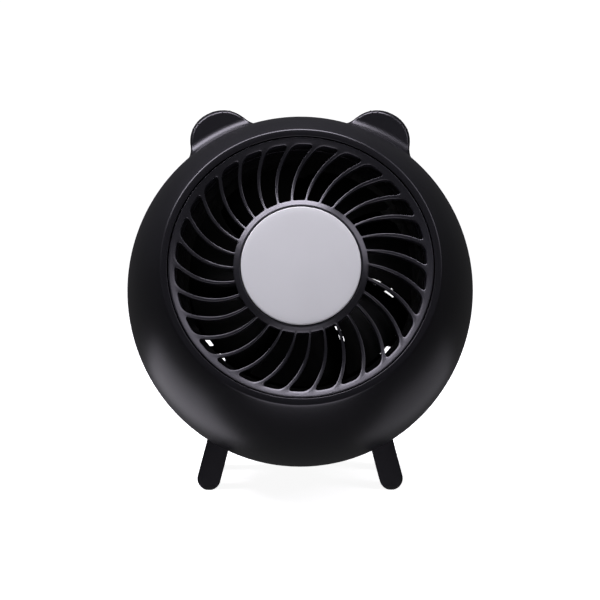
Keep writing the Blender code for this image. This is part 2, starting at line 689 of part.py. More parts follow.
def leg_frames():
    """An empty for each leg, at the ball's centre and aimed at the leg's root."""
    centre = Vector((0, CENTRE_Y, CENTRE_HEIGHT))
    frames = {}
    for name in LEGS:
        empty = bpy.data.objects.get(f"aim_{name}")
        if empty is None:
            empty = make_empty(f"aim_{name}", aimed_matrix(leg_root(name) - centre))
        frames[name] = empty
    return frames


def make_leg(name, frame):
    """A flat leg with a round end, cut to the ball at its root, with a rubber pad let in below."""
    end, up = leg_axis(name)
    half = LEG_WIDTH / 2
    length = (leg_root(name) - end).length + 8 * MM
    outline = arc(half, pi, 2 * pi, 12) + [(half, length), (-half, length)]
    turn = Matrix.Rotation(radians(90), 4, "X")
    lean = Matrix.Rotation(-LEG_SPLAY if end.x > 0 else LEG_SPLAY, 4, "Y")
    place = Matrix.Translation(end) @ lean @ turn
    leg = prism(f"{name}_leg", outline, -LEG_DEPTH / 2, LEG_DEPTH / 2, DARK)
    leg.data.transform(place)
    bm = bmesh.new()
    bmesh.ops.create_icosphere(bm, subdivisions=4, radius=BALL_R + 1.5 * GAP)
    bmesh.ops.translate(bm, verts=bm.verts, vec=(0, CENTRE_Y, CENTRE_HEIGHT))
    ball = bpy.data.meshes.new(f"ball_cut_{name}")
    bm.to_mesh(ball)
    bm.free()
    cut(leg, make_object(f"ball_cut_{name}", ball, None))
    cut(leg, rod(f"leg_hole_{name}", SCREW_HOLE_R, 60 * MM, BALL_R + 9.5 * MM, 8, None, frame))
    low = (end.x - 12 * MM, end.y - LEG_DEPTH, -5 * MM)
    cut(leg, block(f"sole_cut_{name}", low, (end.x + 12 * MM, end.y + LEG_DEPTH, PAD_TOP + GAP)))
    cut(leg, rod(f"peg_hole_{name}", 1.8 * MM, 0, PAD_TOP + 3 * MM, 8, None, None, (end.x, end.y)))

    drop = LEG_END_HEIGHT
    foot = asin(drop / half)
    crown = asin((drop - PAD_TOP) / half)
    outline = arc(half, pi + crown, pi + foot, 5) + arc(half, 2 * pi - foot, 2 * pi - crown, 5)
    pad = prism(f"{name}_foot_pad", outline, -LEG_DEPTH / 2, LEG_DEPTH / 2, RUBBER)
    pad.data.transform(Matrix.Translation(end) @ turn)
    peg = rod(f"peg_{name}", 1.5 * MM, PAD_TOP - 1 * MM, PAD_TOP + 2.4 * MM, 8, None, None, (end.x, end.y))
    join(pad, peg)


# ---------------------------------------------------------------- screws

def make_screw(name, radius, head_radius, head_height, length, parent, seat, down=1, offset=(0, 0)):
    """A pan-head screw: the head's underside is at z = seat and the shank runs towards down."""
    profile = [(0, seat - down * head_height), (head_radius * 0.8, seat - down * head_height),
               (head_radius, seat), (radius, seat), (radius, seat + down * length),
               (0, seat + down * length)]
    return turned(name, profile, 8, STEEL, parent, (0, 0, 0), offset)


def make_screws(head, panel, legs):
    for number, degrees in enumerate(HOUSING_SCREW_ANGLES, 1):
        make_screw(f"housing_screw_{number}", SCREW_R, 2.5 * MM, 1.8 * MM, 20 * MM, head,
                   -10 * MM - GAP, 1, around(degrees, HOUSING_SCREW_R))
    for number in range(4):
        make_screw(f"frame_screw_{number + 1}", 1.1 * MM, 2.0 * MM, 1.4 * MM, 5 * MM, head,
                   FLANGE_BACK - GAP, 1, around(45 + 90 * number, FRAME_SCREW_R))
    for number, x in enumerate((-8 * MM, 8 * MM), 1):
        make_screw(f"motor_screw_{number}", 1.0 * MM, 1.7 * MM, 0.8 * MM, 4 * MM, head,
                   CAN_FRONT + 2 * MM + 2 * GAP, -1, (x, 0))
    for number, x in enumerate((-BOARD_SCREW_X, BOARD_SCREW_X), 1):
        make_screw(f"board_screw_{number}", 1.0 * MM, 1.9 * MM, 1.2 * MM, 6.5 * MM, panel,
                   BOARD_BACK - GAP, 1, (x, 0))
    for name, frame in legs.items():
        make_screw(f"{name}_leg_screw", SCREW_R, 2.4 * MM, 1.6 * MM, 10.5 * MM, frame,
                   BALL_R - WALL - 2 * GAP)


def main():
    clear_scene()
    head = make_empty("head_frame", head_matrix())
    panel = make_empty("panel_frame", panel_matrix())
    legs = leg_frames()
    make_front_housing(head)
    make_rear_housing(head, panel)
    make_front_grille(head)
    make_grille_disc(head)
    make_fan_frame(head)
    make_impeller(head)
    nut_outline = arc(3.2 * MM, 0, 2 * pi, 6)[:-1]
    nut = prism("impeller_nut", nut_outline, 53.3 * MM, 56.3 * MM, BRONZE, head)
    cut(nut, rod("nut_bore", SHAFT_R + 0.05 * MM, 50 * MM, 60 * MM, 12, None, head))
    make_motor(head)
    make_controls(panel)
    make_leads(head, panel)
    for name, frame in legs.items():
        make_leg(name, frame)
    make_screws(head, panel, legs)


main()
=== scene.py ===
"""Looks of a small round desk fan with two ears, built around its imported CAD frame.

Every surface is a numpy grid or a turned profile in one of three frames: the world's, the head's
(x right, y up along the grille's face, z forward along the fan axis) and the control recess's
(z out of the back). Lengths are in metres.
"""

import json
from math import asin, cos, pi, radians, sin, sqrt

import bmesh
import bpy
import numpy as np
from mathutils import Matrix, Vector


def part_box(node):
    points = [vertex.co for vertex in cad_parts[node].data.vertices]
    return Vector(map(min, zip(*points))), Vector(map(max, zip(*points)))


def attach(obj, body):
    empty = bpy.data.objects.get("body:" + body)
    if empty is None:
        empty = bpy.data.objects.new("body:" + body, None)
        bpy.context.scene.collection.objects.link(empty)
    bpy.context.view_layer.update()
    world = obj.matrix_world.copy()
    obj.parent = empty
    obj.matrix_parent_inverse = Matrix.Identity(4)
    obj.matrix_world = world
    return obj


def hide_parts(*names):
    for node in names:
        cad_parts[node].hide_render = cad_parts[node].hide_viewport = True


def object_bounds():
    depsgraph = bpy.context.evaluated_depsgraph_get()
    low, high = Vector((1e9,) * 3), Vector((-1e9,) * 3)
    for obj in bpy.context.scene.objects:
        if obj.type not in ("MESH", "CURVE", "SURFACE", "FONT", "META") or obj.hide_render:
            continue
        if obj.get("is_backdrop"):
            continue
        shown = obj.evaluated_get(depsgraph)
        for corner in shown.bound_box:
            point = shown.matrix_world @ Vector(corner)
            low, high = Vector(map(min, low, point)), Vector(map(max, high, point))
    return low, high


bl_info = {
    "name": "Round desk fan",
    "version": (1, 0, 0),
    "blender": (4, 5, 0),
    "location": "View3D > Sidebar > Desk Fan",
    "description": "Builds the surfaces, finishes and studio of a small round desk fan",
    "category": "Add Mesh",
}

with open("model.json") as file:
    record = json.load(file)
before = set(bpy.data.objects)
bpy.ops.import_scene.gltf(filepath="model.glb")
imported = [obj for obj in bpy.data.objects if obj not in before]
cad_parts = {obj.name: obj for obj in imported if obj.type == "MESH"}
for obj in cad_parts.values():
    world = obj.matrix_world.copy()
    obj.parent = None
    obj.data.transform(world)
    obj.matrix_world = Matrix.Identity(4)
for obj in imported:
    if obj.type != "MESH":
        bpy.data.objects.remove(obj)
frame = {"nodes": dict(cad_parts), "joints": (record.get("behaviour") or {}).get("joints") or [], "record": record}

MM = 0.001
JOINTS = {joint["name"]: joint for joint in frame["joints"]}

# The ball's centre and the three axes of the head, from the spinning joint
FORWARD = np.array(JOINTS["fan_spin"]["axis"], float)
RIGHT = np.array([1.0, 0.0, 0.0])
UP = np.cross(FORWARD, RIGHT)
BALL_CENTRE = np.array(JOINTS["fan_spin"]["pos_m"], float)
BALL_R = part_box("rear_housing")[1].x

# The control recess's axes, from the button's joint
OUTWARD = -np.array(JOINTS["button_press"]["axis"], float)
PANEL_RIGHT = np.array([-1.0, 0.0, 0.0])
PANEL_UP = np.cross(OUTWARD, PANEL_RIGHT)

LEG_NAMES = ("front_left", "front_right", "rear_left", "rear_right")


# ---------------------------------------------------------------- settings a user would change

class HousingSettings(bpy.types.PropertyGroup):
    """Shape of the two housing halves and the ears."""
    wall: bpy.props.FloatProperty(name="Wall", description="Wall thickness of both halves",
                                  default=2.4 * MM, unit="LENGTH")
    seam: bpy.props.FloatProperty(name="Seam", description="Gap between the two halves",
                                  default=0.3 * MM, unit="LENGTH")
    nose_length: bpy.props.FloatProperty(name="Nose length", description="Half length of the front curve",
                                         default=92.1 * MM, unit="LENGTH")
    nose_power: bpy.props.FloatProperty(name="Nose power", description="2 is an ellipse, more is fuller",
                                        default=2.25)
    rim: bpy.props.FloatProperty(name="Rim", description="Distance of the flat rim from the ball's centre",
                                 default=66.7 * MM, unit="LENGTH")
    bore: bpy.props.FloatProperty(name="Bore", description="Radius of the opening that holds the grille",
                                  default=53.2 * MM, unit="LENGTH")
    ear_radius: bpy.props.FloatProperty(name="Ear radius", description="Radius of each ear's disc",
                                        default=13.85 * MM, unit="LENGTH")
    ear_edge: bpy.props.FloatProperty(name="Ear edge", description="Rounding of the ear's rim",
                                      default=0.9 * MM, unit="LENGTH")
    ear_fillet: bpy.props.FloatProperty(name="Ear fillet", description="Fillet between ear and ball",
                                        default=4.4 * MM, unit="LENGTH")


class GrilleSettings(bpy.types.PropertyGroup):
    """Shape of the grille and the disc in its middle."""
    ribs: bpy.props.IntProperty(name="Ribs", description="Number of curved ribs", default=30)
    start: bpy.props.FloatProperty(name="Start", description="Angle of the first rib at the hub",
                                   default=radians(1.5), subtype="ANGLE")
    sweep: bpy.props.FloatProperty(name="Sweep", description="How far a rib turns from hub to ring",
                                   default=radians(15.2), subtype="ANGLE")
    curl: bpy.props.FloatProperty(name="Curl", description="Share of the sweep that grows outwards",
                                  default=0.57)
    front: bpy.props.FloatProperty(name="Front", description="Distance of the grille's edges from the "
                                   "ball's centre", default=66.4 * MM, unit="LENGTH")
    trough: bpy.props.FloatProperty(name="Trough", description="How deep the ribs dip between the edges",
                                    default=3.8 * MM, unit="LENGTH")
    disc: bpy.props.FloatProperty(name="Disc", description="Radius of the plain disc",
                                  default=23.9 * MM, unit="LENGTH")


class FinishSettings(bpy.types.PropertyGroup):
    """Colours, as sRGB hex values."""
    housing: bpy.props.StringProperty(name="Housing", description="Charcoal of the two halves",
                                      default="#101013")
    grille: bpy.props.StringProperty(name="Grille", description="Charcoal of the grille",
                                     default="#18181C")
    disc: bpy.props.StringProperty(name="Disc", description="Light grey of the centre disc",
                                   default="#CECFCF")
    legs: bpy.props.StringProperty(name="Legs", description="Black of the legs", default="#09090C")


class StudioSettings(bpy.types.PropertyGroup):
    """Where the camera stands and how bright the room is."""
    distance: bpy.props.FloatProperty(name="Distance", description="Camera to the ball's centre",
                                      default=0.650, unit="LENGTH")
    height: bpy.props.FloatProperty(name="Height", description="How far the camera looks down",
                                    default=radians(4.0), subtype="ANGLE")
    turn: bpy.props.FloatProperty(name="Turn", description="How far left of the front the camera stands",
                                  default=radians(0.35), subtype="ANGLE")
    lens: bpy.props.FloatProperty(name="Lens", description="Focal length in millimetres", default=88.4)
    glow: bpy.props.FloatProperty(name="Glow", description="How much the paper sweep glows by itself",
                                  default=0.92)
    air: bpy.props.FloatProperty(name="Air", description="Brightness of the air all round", default=0.045)
    drop: bpy.props.FloatProperty(name="Drop", description="How far under the ball's centre it aims",
                                  default=1.9 * MM, unit="LENGTH")


def settings():
    """The fan's settings in the open scene."""
    return bpy.context.scene.desk_fan


# ---------------------------------------------------------------- frames and meshes

def to_head(points):
    """Head coordinates (..., 3) to world coordinates."""
    return BALL_CENTRE + points @ np.array([RIGHT, UP, FORWARD])


def to_panel(points):
    """Control recess coordinates (..., 3) to world coordinates."""
    return BALL_CENTRE + points @ np.array([PANEL_RIGHT, PANEL_UP, OUTWARD])


def grid_quads(rows, columns, wrap_rows=False, wrap_columns=False, start=0):
    """Corner indices of the cells of a grid whose points are numbered row by row."""
    i = np.arange(rows if wrap_rows else rows - 1)[:, None]
    j = np.arange(columns if wrap_columns else columns - 1)[None, :]
    below = (i + 1) % rows
    beside = (j + 1) % columns
    quads = np.stack([i * columns + j, i * columns + beside, below * columns + beside,
                      below * columns + j], axis=-1)
    return quads.reshape(-1, 4) + start


class Sheets:
    """Collects grids of points, which are merged into one closed mesh at the end."""

    def __init__(self):
        self.points = []
        self.quads = []
        self.count = 0

    def add(self, grid, wrap_rows=False, wrap_columns=False):
        rows, columns = grid.shape[:2]
        self.quads.append(grid_quads(rows, columns, wrap_rows, wrap_columns, self.count))
        self.points.append(grid.reshape(-1, 3))
        self.count += rows * columns

    def mesh(self, name, merge=2e-6):
        return closed_mesh(name, np.concatenate(self.points), np.concatenate(self.quads), merge)


def closed_mesh(name, points, quads, merge=2e-6):
    """A mesh whose poles and seams are merged and whose faces point outwards."""
    mesh = bpy.data.meshes.new(name)
    mesh.vertices.add(len(points))
    mesh.vertices.foreach_set("co", np.ascontiguousarray(points, np.float32).ravel())
    mesh.loops.add(quads.size)
    mesh.loops.foreach_set("vertex_index", np.ascontiguousarray(quads, np.int32).ravel())
    mesh.polygons.add(len(quads))
    mesh.polygons.foreach_set("loop_start", np.arange(0, quads.size, 4, dtype=np.int32))
    mesh.update(calc_edges=True)
    bm = bmesh.new()
    bm.from_mesh(mesh)
    bmesh.ops.remove_doubles(bm, verts=bm.verts, dist=merge)
    bmesh.ops.dissolve_degenerate(bm, edges=bm.edges, dist=1e-8)
    bmesh.ops.recalc_face_normals(bm, faces=bm.faces)
    bm.to_mesh(mesh)
    bm.free()
    return mesh


def add_piece(name, mesh, material, body, nodes, sharp=35):
    """Put a finished mesh in the scene, riding on its body in place of its CAD nodes."""
    mesh.name = name
    mesh.materials.clear()
    mesh.materials.append(material)
    mesh.shade_smooth()
    mesh.set_sharp_from_angle(angle=radians(sharp))
    obj = bpy.data.objects.new(name, mesh)
    bpy.context.scene.collection.objects.link(obj)
    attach(obj, body)
    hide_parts(*nodes)


def combine(mesh, tool_mesh, operation):
    """The mesh after a Boolean with a tool, as a new mesh."""
    scene = bpy.context.scene
    target = bpy.data.objects.new("target", mesh)
    tool = bpy.data.objects.new("tool", tool_mesh)
    scene.collection.objects.link(target)
    scene.collection.objects.link(tool)
    modifier = target.modifiers.new("combine", "BOOLEAN")
    modifier.operation = operation
    modifier.solver = "EXACT"
    modifier.object = tool
    bpy.context.view_layer.update()
    graph = bpy.context.evaluated_depsgraph_get()
    result = bpy.data.meshes.new_from_object(target.evaluated_get(graph))
    bpy.data.objects.remove(target)
    bpy.data.objects.remove(tool)
    return result


def turned_grid(profile, steps, offset=(0.0, 0.0)):
    """Points (profile, steps, 3): each (radius, height) goes round the z axis through offset."""
    angle = np.linspace(0, 2 * pi, steps, endpoint=False)
    radius, height = profile[:, 0, None], profile[:, 1, None]
    return np.stack([offset[0] + radius * np.cos(angle), offset[1] + radius * np.sin(angle),
                     height + 0 * angle], axis=-1)


def soft_loop(corners, closed=True, points=5):
    """A polygon of (x, y, rounding) corners with an arc tangent to both sides at each corner."""
    corners = np.array(corners, float)
    result = []
    count = len(corners)
    for i in range(count):
        here, rounding = corners[i, :2], corners[i, 2]
        ends = not closed and i in (0, count - 1)
        if rounding <= 0 or ends:
            result.append(here[None])
            continue
        back = corners[i - 1, :2] - here
        ahead = corners[(i + 1) % count, :2] - here
        back /= np.linalg.norm(back)
        ahead /= np.linalg.norm(ahead)
        half = np.arccos(np.clip(back @ ahead, -1, 1)) / 2
        middle = here + (back + ahead) / np.linalg.norm(back + ahead) * rounding / sin(half)
        first = here + back * rounding / np.tan(half) - middle
        last = here + ahead * rounding / np.tan(half) - middle
        turn = pi - 2 * half
        share = np.linspace(0, 1, points)[:, None]
        arc = np.sin((1 - share) * turn) * first + np.sin(share * turn) * last
        result.append(middle + arc / sin(turn))
    return np.concatenate(result)


def square_loop(sides, ends):
    """Points round the square from -1 to 1: sides samples up each side, ends samples along each end."""
    up = -np.cos(np.linspace(0, pi, sides, endpoint=False))
    along = -np.cos(np.linspace(0, pi, ends, endpoint=False))
    one_side, one_end = np.ones(sides), np.ones(ends)
    return np.concatenate([np.stack([one_side, up], 1), np.stack([-along, one_end], 1),
                           np.stack([-one_side, -up], 1), np.stack([along, -one_end], 1)])


def round_corners(loop, radius_x, radius_y):
    """Move the corners of a square loop onto arcs with half axes radius_x and radius_y."""
    inner = np.stack([np.clip(loop[:, 0], radius_x - 1, 1 - radius_x),
                      np.clip(loop[:, 1], radius_y - 1, 1 - radius_y)], 1)
    away = (loop - inner) / np.stack([radius_x, radius_y], 1)
    away /= np.maximum(np.linalg.norm(away, axis=1, keepdims=True), 1e-9)
    return inner + away * np.stack([radius_x, radius_y], 1)


# ---------------------------------------------------------------- materials

def linear(hex_colour):
    """sRGB hex to linear RGBA."""
    values = [int(hex_colour[i:i + 2], 16) / 255 for i in (1, 3, 5)]
    return [v / 12.92 if v <= 0.04045 else ((v + 0.055) / 1.055) ** 2.4 for v in values] + [1.0]


def add_node(tree, kind, inputs=None, **attributes):
    """Add a node with its attributes, and its inputs as values or as links from other sockets."""
    node = tree.nodes.new(kind)
    for name, value in attributes.items():
        setattr(node, name, value)
    for name, value in (inputs or {}).items():
        if isinstance(value, bpy.types.NodeSocket):
            tree.links.new(value, node.inputs[name])
        else:
            node.inputs[name].default_value = value
    return node


COOL_SHEEN = "#FAF7FF"             # the charcoal plastic mirrors white a little towards violet
PLAIN_SHEEN = "#FFFFFF"


def new_material(name):
    """A material with its node tree, its shader and the socket of its Object coordinates."""
    material = bpy.data.materials.new(name)
    material.use_nodes = True
    tree = material.node_tree
    place = add_node(tree, "ShaderNodeTexCoord").outputs["Object"]
    return material, tree, tree.nodes["Principled BSDF"], place


def roughen(tree, shader, pattern, low, high, strength, depth):
    """Let a noise between 0.3 and 0.7 drive the roughness from low to high, and a bump of its depth."""
    spread = add_node(tree, "ShaderNodeMapRange", {"Value": pattern, "From Min": 0.3, "From Max": 0.7,
                                                   "To Min": low, "To Max": high})
    relief = add_node(tree, "ShaderNodeBump", {"Height": pattern, "Strength": strength, "Distance": depth})
    tree.links.new(spread.outputs["Result"], shader.inputs["Roughness"])
    tree.links.new(relief.outputs["Normal"], shader.inputs["Normal"])


def moulded_plastic(name, hex_colour, roughness, grain, bump, cloud=0.10, gloss=0.5, sheen=PLAIN_SHEEN):
    """Plastic or rubber from a spark-eroded mould.

    Fine round grain in the normal and roughness gives a satin sheen that breaks up at its edges,
    and a slow cloud in the colour keeps a large face from looking flat. The real grain is under
    0.1 mm, too fine to show, so it is drawn 0.4 to 0.8 mm wide.
    """
    material, tree, shader, place = new_material(name)
    pits = add_node(tree, "ShaderNodeTexNoise", {"Vector": place, "Scale": 1 / grain, "Detail": 3.0,
                                                 "Roughness": 0.6})
    clouds = add_node(tree, "ShaderNodeTexNoise", {"Vector": place, "Scale": 45.0, "Detail": 2.0})
    base = linear(hex_colour)
    ramp = add_node(tree, "ShaderNodeValToRGB", {"Fac": clouds.outputs["Fac"]})
    for element, position, gain in zip(ramp.color_ramp.elements, (0.35, 0.65), (1 - cloud, 1 + cloud)):
        element.position = position
        element.color = [min(c * gain, 1.0) for c in base[:3]] + [1.0]
    tree.links.new(ramp.outputs["Color"], shader.inputs["Base Color"])
    roughen(tree, shader, pits.outputs["Fac"], roughness - 0.03, roughness + 0.03, bump, 0.05 * MM)
    shader.inputs["IOR"].default_value = 1.5
    shader.inputs["Specular IOR Level"].default_value = gloss
    shader.inputs["Specular Tint"].default_value = linear(sheen)
    return material


def machined_metal(name, hex_colour, roughness, scale=1200.0):
    """Turned or stamped metal: fine uneven polish in the roughness and a faint relief.

    Real polishing marks are far finer than 0.8 mm, the size at which they are drawn to show.
    """
    material, tree, shader, place = new_material(name)
    polish = add_node(tree, "ShaderNodeTexNoise", {"Vector": place, "Scale": scale, "Detail": 4.0})
    shader.inputs["Base Color"].default_value = linear(hex_colour)
    shader.inputs["Metallic"].default_value = 1.0
    roughen(tree, shader, polish.outputs["Fac"], roughness - 0.08, roughness + 0.10, 0.15, 0.03 * MM)
    return material


_made = {}


def finish(name):
    """The named finish, made the first time that it is asked for."""
    if name not in _made:
        colours = settings().finish
        recipes = {
            # Moulded ABS, nearly black: the body shows as soft broad highlights on a dark ball
            "moulded_abs_charcoal": (moulded_plastic, colours.housing, 0.31, 0.45 * MM, 0.16, 0.10, 0.5,
                                     COOL_SHEEN),
            # The same ABS from a smoother mould: the ribs and ring catch brighter lines of light
            "moulded_abs_grille": (moulded_plastic, colours.grille, 0.30, 0.45 * MM, 0.14, 0.10, 0.85,
                                   COOL_SHEEN),
            # Light grey ABS with almost no cloud: one even, quiet disc
            "moulded_abs_light_grey": (moulded_plastic, colours.disc, 0.45, 0.5 * MM, 0.12, 0.015),
            # Coarse matte ABS: the legs stay dark and hardly shine
            "matte_black_leg": (moulded_plastic, colours.legs, 0.58, 0.4 * MM, 0.5, 0.10, 0.3, COOL_SHEEN),
            # Unpainted nylon and polypropylene in shade: kept dull, so the inside reads as black
            "black_nylon_inner": (moulded_plastic, "#0D0D0E", 0.55, 0.6 * MM, 0.2, 0.10, 0.3),
            "black_pp_impeller": (moulded_plastic, "#0C0C0D", 0.45, 0.6 * MM, 0.1, 0.10, 0.25),
            # Soft rubber: rougher and greyer than the leg above it, with no highlight
            "black_rubber": (moulded_plastic, "#131314", 0.85, 0.5 * MM, 0.7),
            # Plated and bare steel, from greyer to brighter, then the blackened screw heads
            "zinc_plate": (machined_metal, "#B9BCC2", 0.35),
            "bright_steel": (machined_metal, "#C4C4C8", 0.28),
            "blackened_screw_steel": (machined_metal, "#4A4A4E", 0.38),
            # Porous bronze, dull and brown, and lacquered copper wire, redder and shinier
            "sintered_bronze": (machined_metal, "#A8804A", 0.42),
            "enamelled_copper": (machined_metal, "#C0693C", 0.25),
            # Pressed powders: dark, matte and slightly gritty
            "ferrite": (moulded_plastic, "#3A3A3D", 0.7, 0.5 * MM, 0.5),
            "carbon_black": (moulded_plastic, "#2B2B2C", 0.6, 0.4 * MM, 0.4),
            # Smooth lacquer, shrink sleeve and wire insulation: small glossy spots of colour
            "solder_mask_green": (moulded_plastic, "#1E5A33", 0.35, 0.7 * MM, 0.1),
            "blue_shrink_sleeve": (moulded_plastic, "#27366E", 0.35, 0.8 * MM, 0.1),
            "red_insulation": (moulded_plastic, "#A01C18", 0.45, 0.6 * MM, 0.2),
            "black_insulation": (moulded_plastic, "#1B1B1B", 0.45, 0.6 * MM, 0.2),
        }
        maker, *values = recipes[name]
        _made[name] = maker(name, *values)
    return _made[name]


# ---------------------------------------------------------------- front housing and ears

def nose_radius(height, inset=0.0):
    """Superellipse: (height / length) ** power + (radius / ball radius) ** power = 1."""
    shape = settings().housing
    share = (np.maximum(height, 0) / (shape.nose_length - inset)) ** shape.nose_power
    return (BALL_R - inset) * (1 - share) ** (1 / shape.nose_power)


def nose_curve(first, last, count, inset=0.0):
    """(radius, height) points from first to last, even in the superellipse's angle."""
    shape = settings().housing
    length = shape.nose_length - inset
    angle = np.linspace(asin((first / length) ** (shape.nose_power / 2)),
                        asin((last / length) ** (shape.nose_power / 2)), count)
    height = length * np.sin(angle) ** (2 / shape.nose_power)
    return np.stack([nose_radius(height, inset), height], 1)


LEDGE = (53.0 * MM, 57.0 * MM)      # heights of the ledge that the grille rests on
LEDGE_R = 50.0 * MM
SEAM_BREAK = 0.28 * MM              # how far the edge of each half is broken at the seam


def front_housing_mesh():
    """One closed profile, turned: outer curve, flat rim, bore, ledge and inner curve."""
    shape = settings().housing
    ledge_low, ledge_high = LEDGE
    seam = shape.seam / 2
    outer = nose_curve(seam + 0.3 * MM, shape.rim - 1.4 * MM, 72)
    rim_edge = nose_radius(shape.rim)
    rest = soft_loop([(outer[-1, 0], outer[-1, 1], 0), (rim_edge, shape.rim, 1.0 * MM),
                      (shape.bore, shape.rim, 0.25 * MM), (shape.bore, ledge_high, 0),
                      (LEDGE_R, ledge_high, 0.2 * MM), (LEDGE_R, ledge_low, 0.2 * MM),
                      (nose_radius(ledge_low, shape.wall), ledge_low, 0)], closed=False, points=5)
    inner = nose_curve(seam, ledge_low, 24, shape.wall)[::-1]
    start = np.array([[BALL_R - SEAM_BREAK, seam]])
    profile = np.concatenate([start, outer, rest[1:], inner[1:]])
    sheets = Sheets()
    sheets.add(to_head(turned_grid(profile, 288)), True, True)
    return sheets.mesh("front_housing_shell")


EAR_X, EAR_Y = 33.75 * MM, 63.9 * MM
EAR_BACK, EAR_FRONT = 15.0 * MM, 25.5 * MM
BALL_SLANT = 0.985                  # turns a gap along the radius into one square to the ball, roughly


class Ear:
    """Distance field of one ear melted into the ball, in head coordinates.

    The ear is a disc with a rounded rim: the distance from a flat-edged disc, less the rounding.
    The field is the smaller of the distances to disc and ball. Where both are under the fillet
    radius r, it is r less the root of (r - disc distance) squared plus (r - ball distance) squared.
    """

    def __init__(self, side):
        shape = settings().housing
        self.radius, self.edge, self.fillet = shape.ear_radius, shape.ear_edge, shape.ear_fillet
        self.reach = sqrt(EAR_X ** 2 + EAR_Y ** 2)
        self.out = np.array([side * EAR_X, EAR_Y, 0]) / self.reach
        self.across = np.array([self.out[1], -self.out[0], 0])
        self.middle = (EAR_BACK + EAR_FRONT) / 2
        self.half_depth = (EAR_FRONT - EAR_BACK) / 2
        self.centre = self.out * self.reach + np.array([0, 0, self.middle])

    def distance(self, points):
        """Distance of each point from the melted surface, negative inside."""
        away = points - self.centre
        flat = np.hypot(away @ self.out, away @ self.across) - (self.radius - self.edge)
        deep = np.abs(away[..., 2]) - (self.half_depth - self.edge)
        ear = np.minimum(np.maximum(flat, deep), 0) + np.hypot(np.maximum(flat, 0), np.maximum(deep, 0))
        ear = ear - self.edge
        ball = (np.hypot(points[..., 0], points[..., 1]) - nose_radius(points[..., 2])) * BALL_SLANT
        near = np.hypot(np.maximum(self.fillet - ear, 0), np.maximum(self.fillet - ball, 0))
        both = (ear < self.fillet) & (ball < self.fillet)
        return np.where(both, self.fillet - near, np.minimum(ear, ball))

    def slope(self, points):
        """Gradient of the distance, from its values a nudge ahead and behind along each axis."""
        nudge = 0.01 * MM
        ahead = [self.distance(points + nudge * axis) for axis in np.eye(3)]
        behind = [self.distance(points - nudge * axis) for axis in np.eye(3)]
        return (np.stack(ahead, -1) - np.stack(behind, -1)) / (2 * nudge)

    def settle(self, points, steps=16):
        """Walk each point down the field's slope until it lies on the surface."""
        for _ in range(steps):
            slope = self.slope(points)
            steep = np.maximum((slope ** 2).sum(-1, keepdims=True), 0.2)
            points = points - self.distance(points)[..., None] * slope / steep
        return points

    def on_ball(self, across, ahead, lift=0.0):
        """Point of the ball's surface at an arc length across and a length ahead of the ear's middle."""
        height = self.middle + ahead
        radius = nose_radius(height)
        turn = (across / radius)[..., None]
        away = self.out * np.cos(turn) + self.across * np.sin(turn)
        return away * (radius + lift)[..., None] + np.stack([0 * height, 0 * height, height], -1)


def ear_mesh(side):
    """Rings round the ear from its top to its foot, down the fillet and just under the ball's skin."""
    ear = Ear(side)
    fillet = ear.fillet
    turn = np.linspace(0, 2 * pi, 240, endpoint=False)
    wide = np.sign(np.cos(turn)) * np.abs(np.cos(turn)) ** 0.5
    deep = np.sign(np.sin(turn)) * np.abs(np.sin(turn)) ** 0.5
    base_radius = float(nose_radius(ear.middle))
    half_width = sqrt(ear.radius ** 2 - (ear.reach - base_radius) ** 2) * 0.99
    foot_x, foot_z = wide * half_width, deep * ear.half_depth
    length = np.hypot(foot_x, foot_z)
    away_x, away_z = foot_x / length, foot_z / length
    tall = ear.reach + ear.radius - base_radius
    rows = []
    for share in np.linspace(0, 1, 46)[:-1] ** 0.9:
        spread, lift = sin(share * pi / 2), tall * cos(share * pi / 2)
        rows.append(ear.on_ball(foot_x * spread, foot_z * spread) + ear.out * max(lift, fillet))
    for angle in np.linspace(0, pi / 2, 10):
        grow = fillet * (1 - cos(angle))
        rows.append(ear.on_ball(foot_x + away_x * grow, foot_z + away_z * grow, fillet * (1 - sin(angle))))
    grow = fillet * 1.3
    rows.append(ear.on_ball(foot_x + away_x * grow, foot_z + away_z * grow))
    grid = ear.settle(np.stack(rows))
    grid[0] = grid[0].mean(0)
    hidden = []
    for grow, depth in ((1.8 * fillet, 0.03 * MM), (2.2 * fillet, 0.12 * MM), (0.0, 1.2 * MM)):
        hidden.append(ear.on_ball(foot_x + away_x * grow, foot_z + away_z * grow, 0 * foot_x - depth))
    hidden.append(np.repeat(hidden[-1].mean(0)[None], len(turn), 0))
    sheets = Sheets()
    sheets.add(to_head(np.concatenate([grid, np.stack(hidden)])), False, True)
    mesh = sheets.mesh(f"ear_{side}", 1e-6)
    return mesh, ear


def exact_normals(mesh, field):
    """Shade a mesh by the slope of its distance field, so its small facets don't show."""
    points = np.empty(len(mesh.vertices) * 3, np.float32)
    mesh.vertices.foreach_get("co", points)
    local = (points.reshape(-1, 3).astype(float) - BALL_CENTRE) @ np.array([RIGHT, UP, FORWARD]).T
    slope = field.slope(local)
    slope = slope / np.maximum(np.linalg.norm(slope, axis=1, keepdims=True), 1e-6)
    mesh.normals_split_custom_set_from_vertices((slope @ np.array([RIGHT, UP, FORWARD])).tolist())


# ---------------------------------------------------------------- rear housing

SLOT_RINGS = ((13, 20), (23, 30), (33, 40))
SLOT_SECTORS = 30
SLOTLESS = (210, 330)               # no slots here, where the control recess is
CELLS_START, CELLS_END = radians(11.5), radians(41.5)


def bowl(azimuth, polar, depth):
    """Point of the back half: azimuth round the fan axis, polar angle from its rear end."""
    radius = BALL_R - depth
    return np.stack([radius * np.sin(polar) * np.cos(azimuth), radius * np.sin(polar) * np.sin(azimuth),
                     -radius * np.cos(polar) + 0 * azimuth], -1)


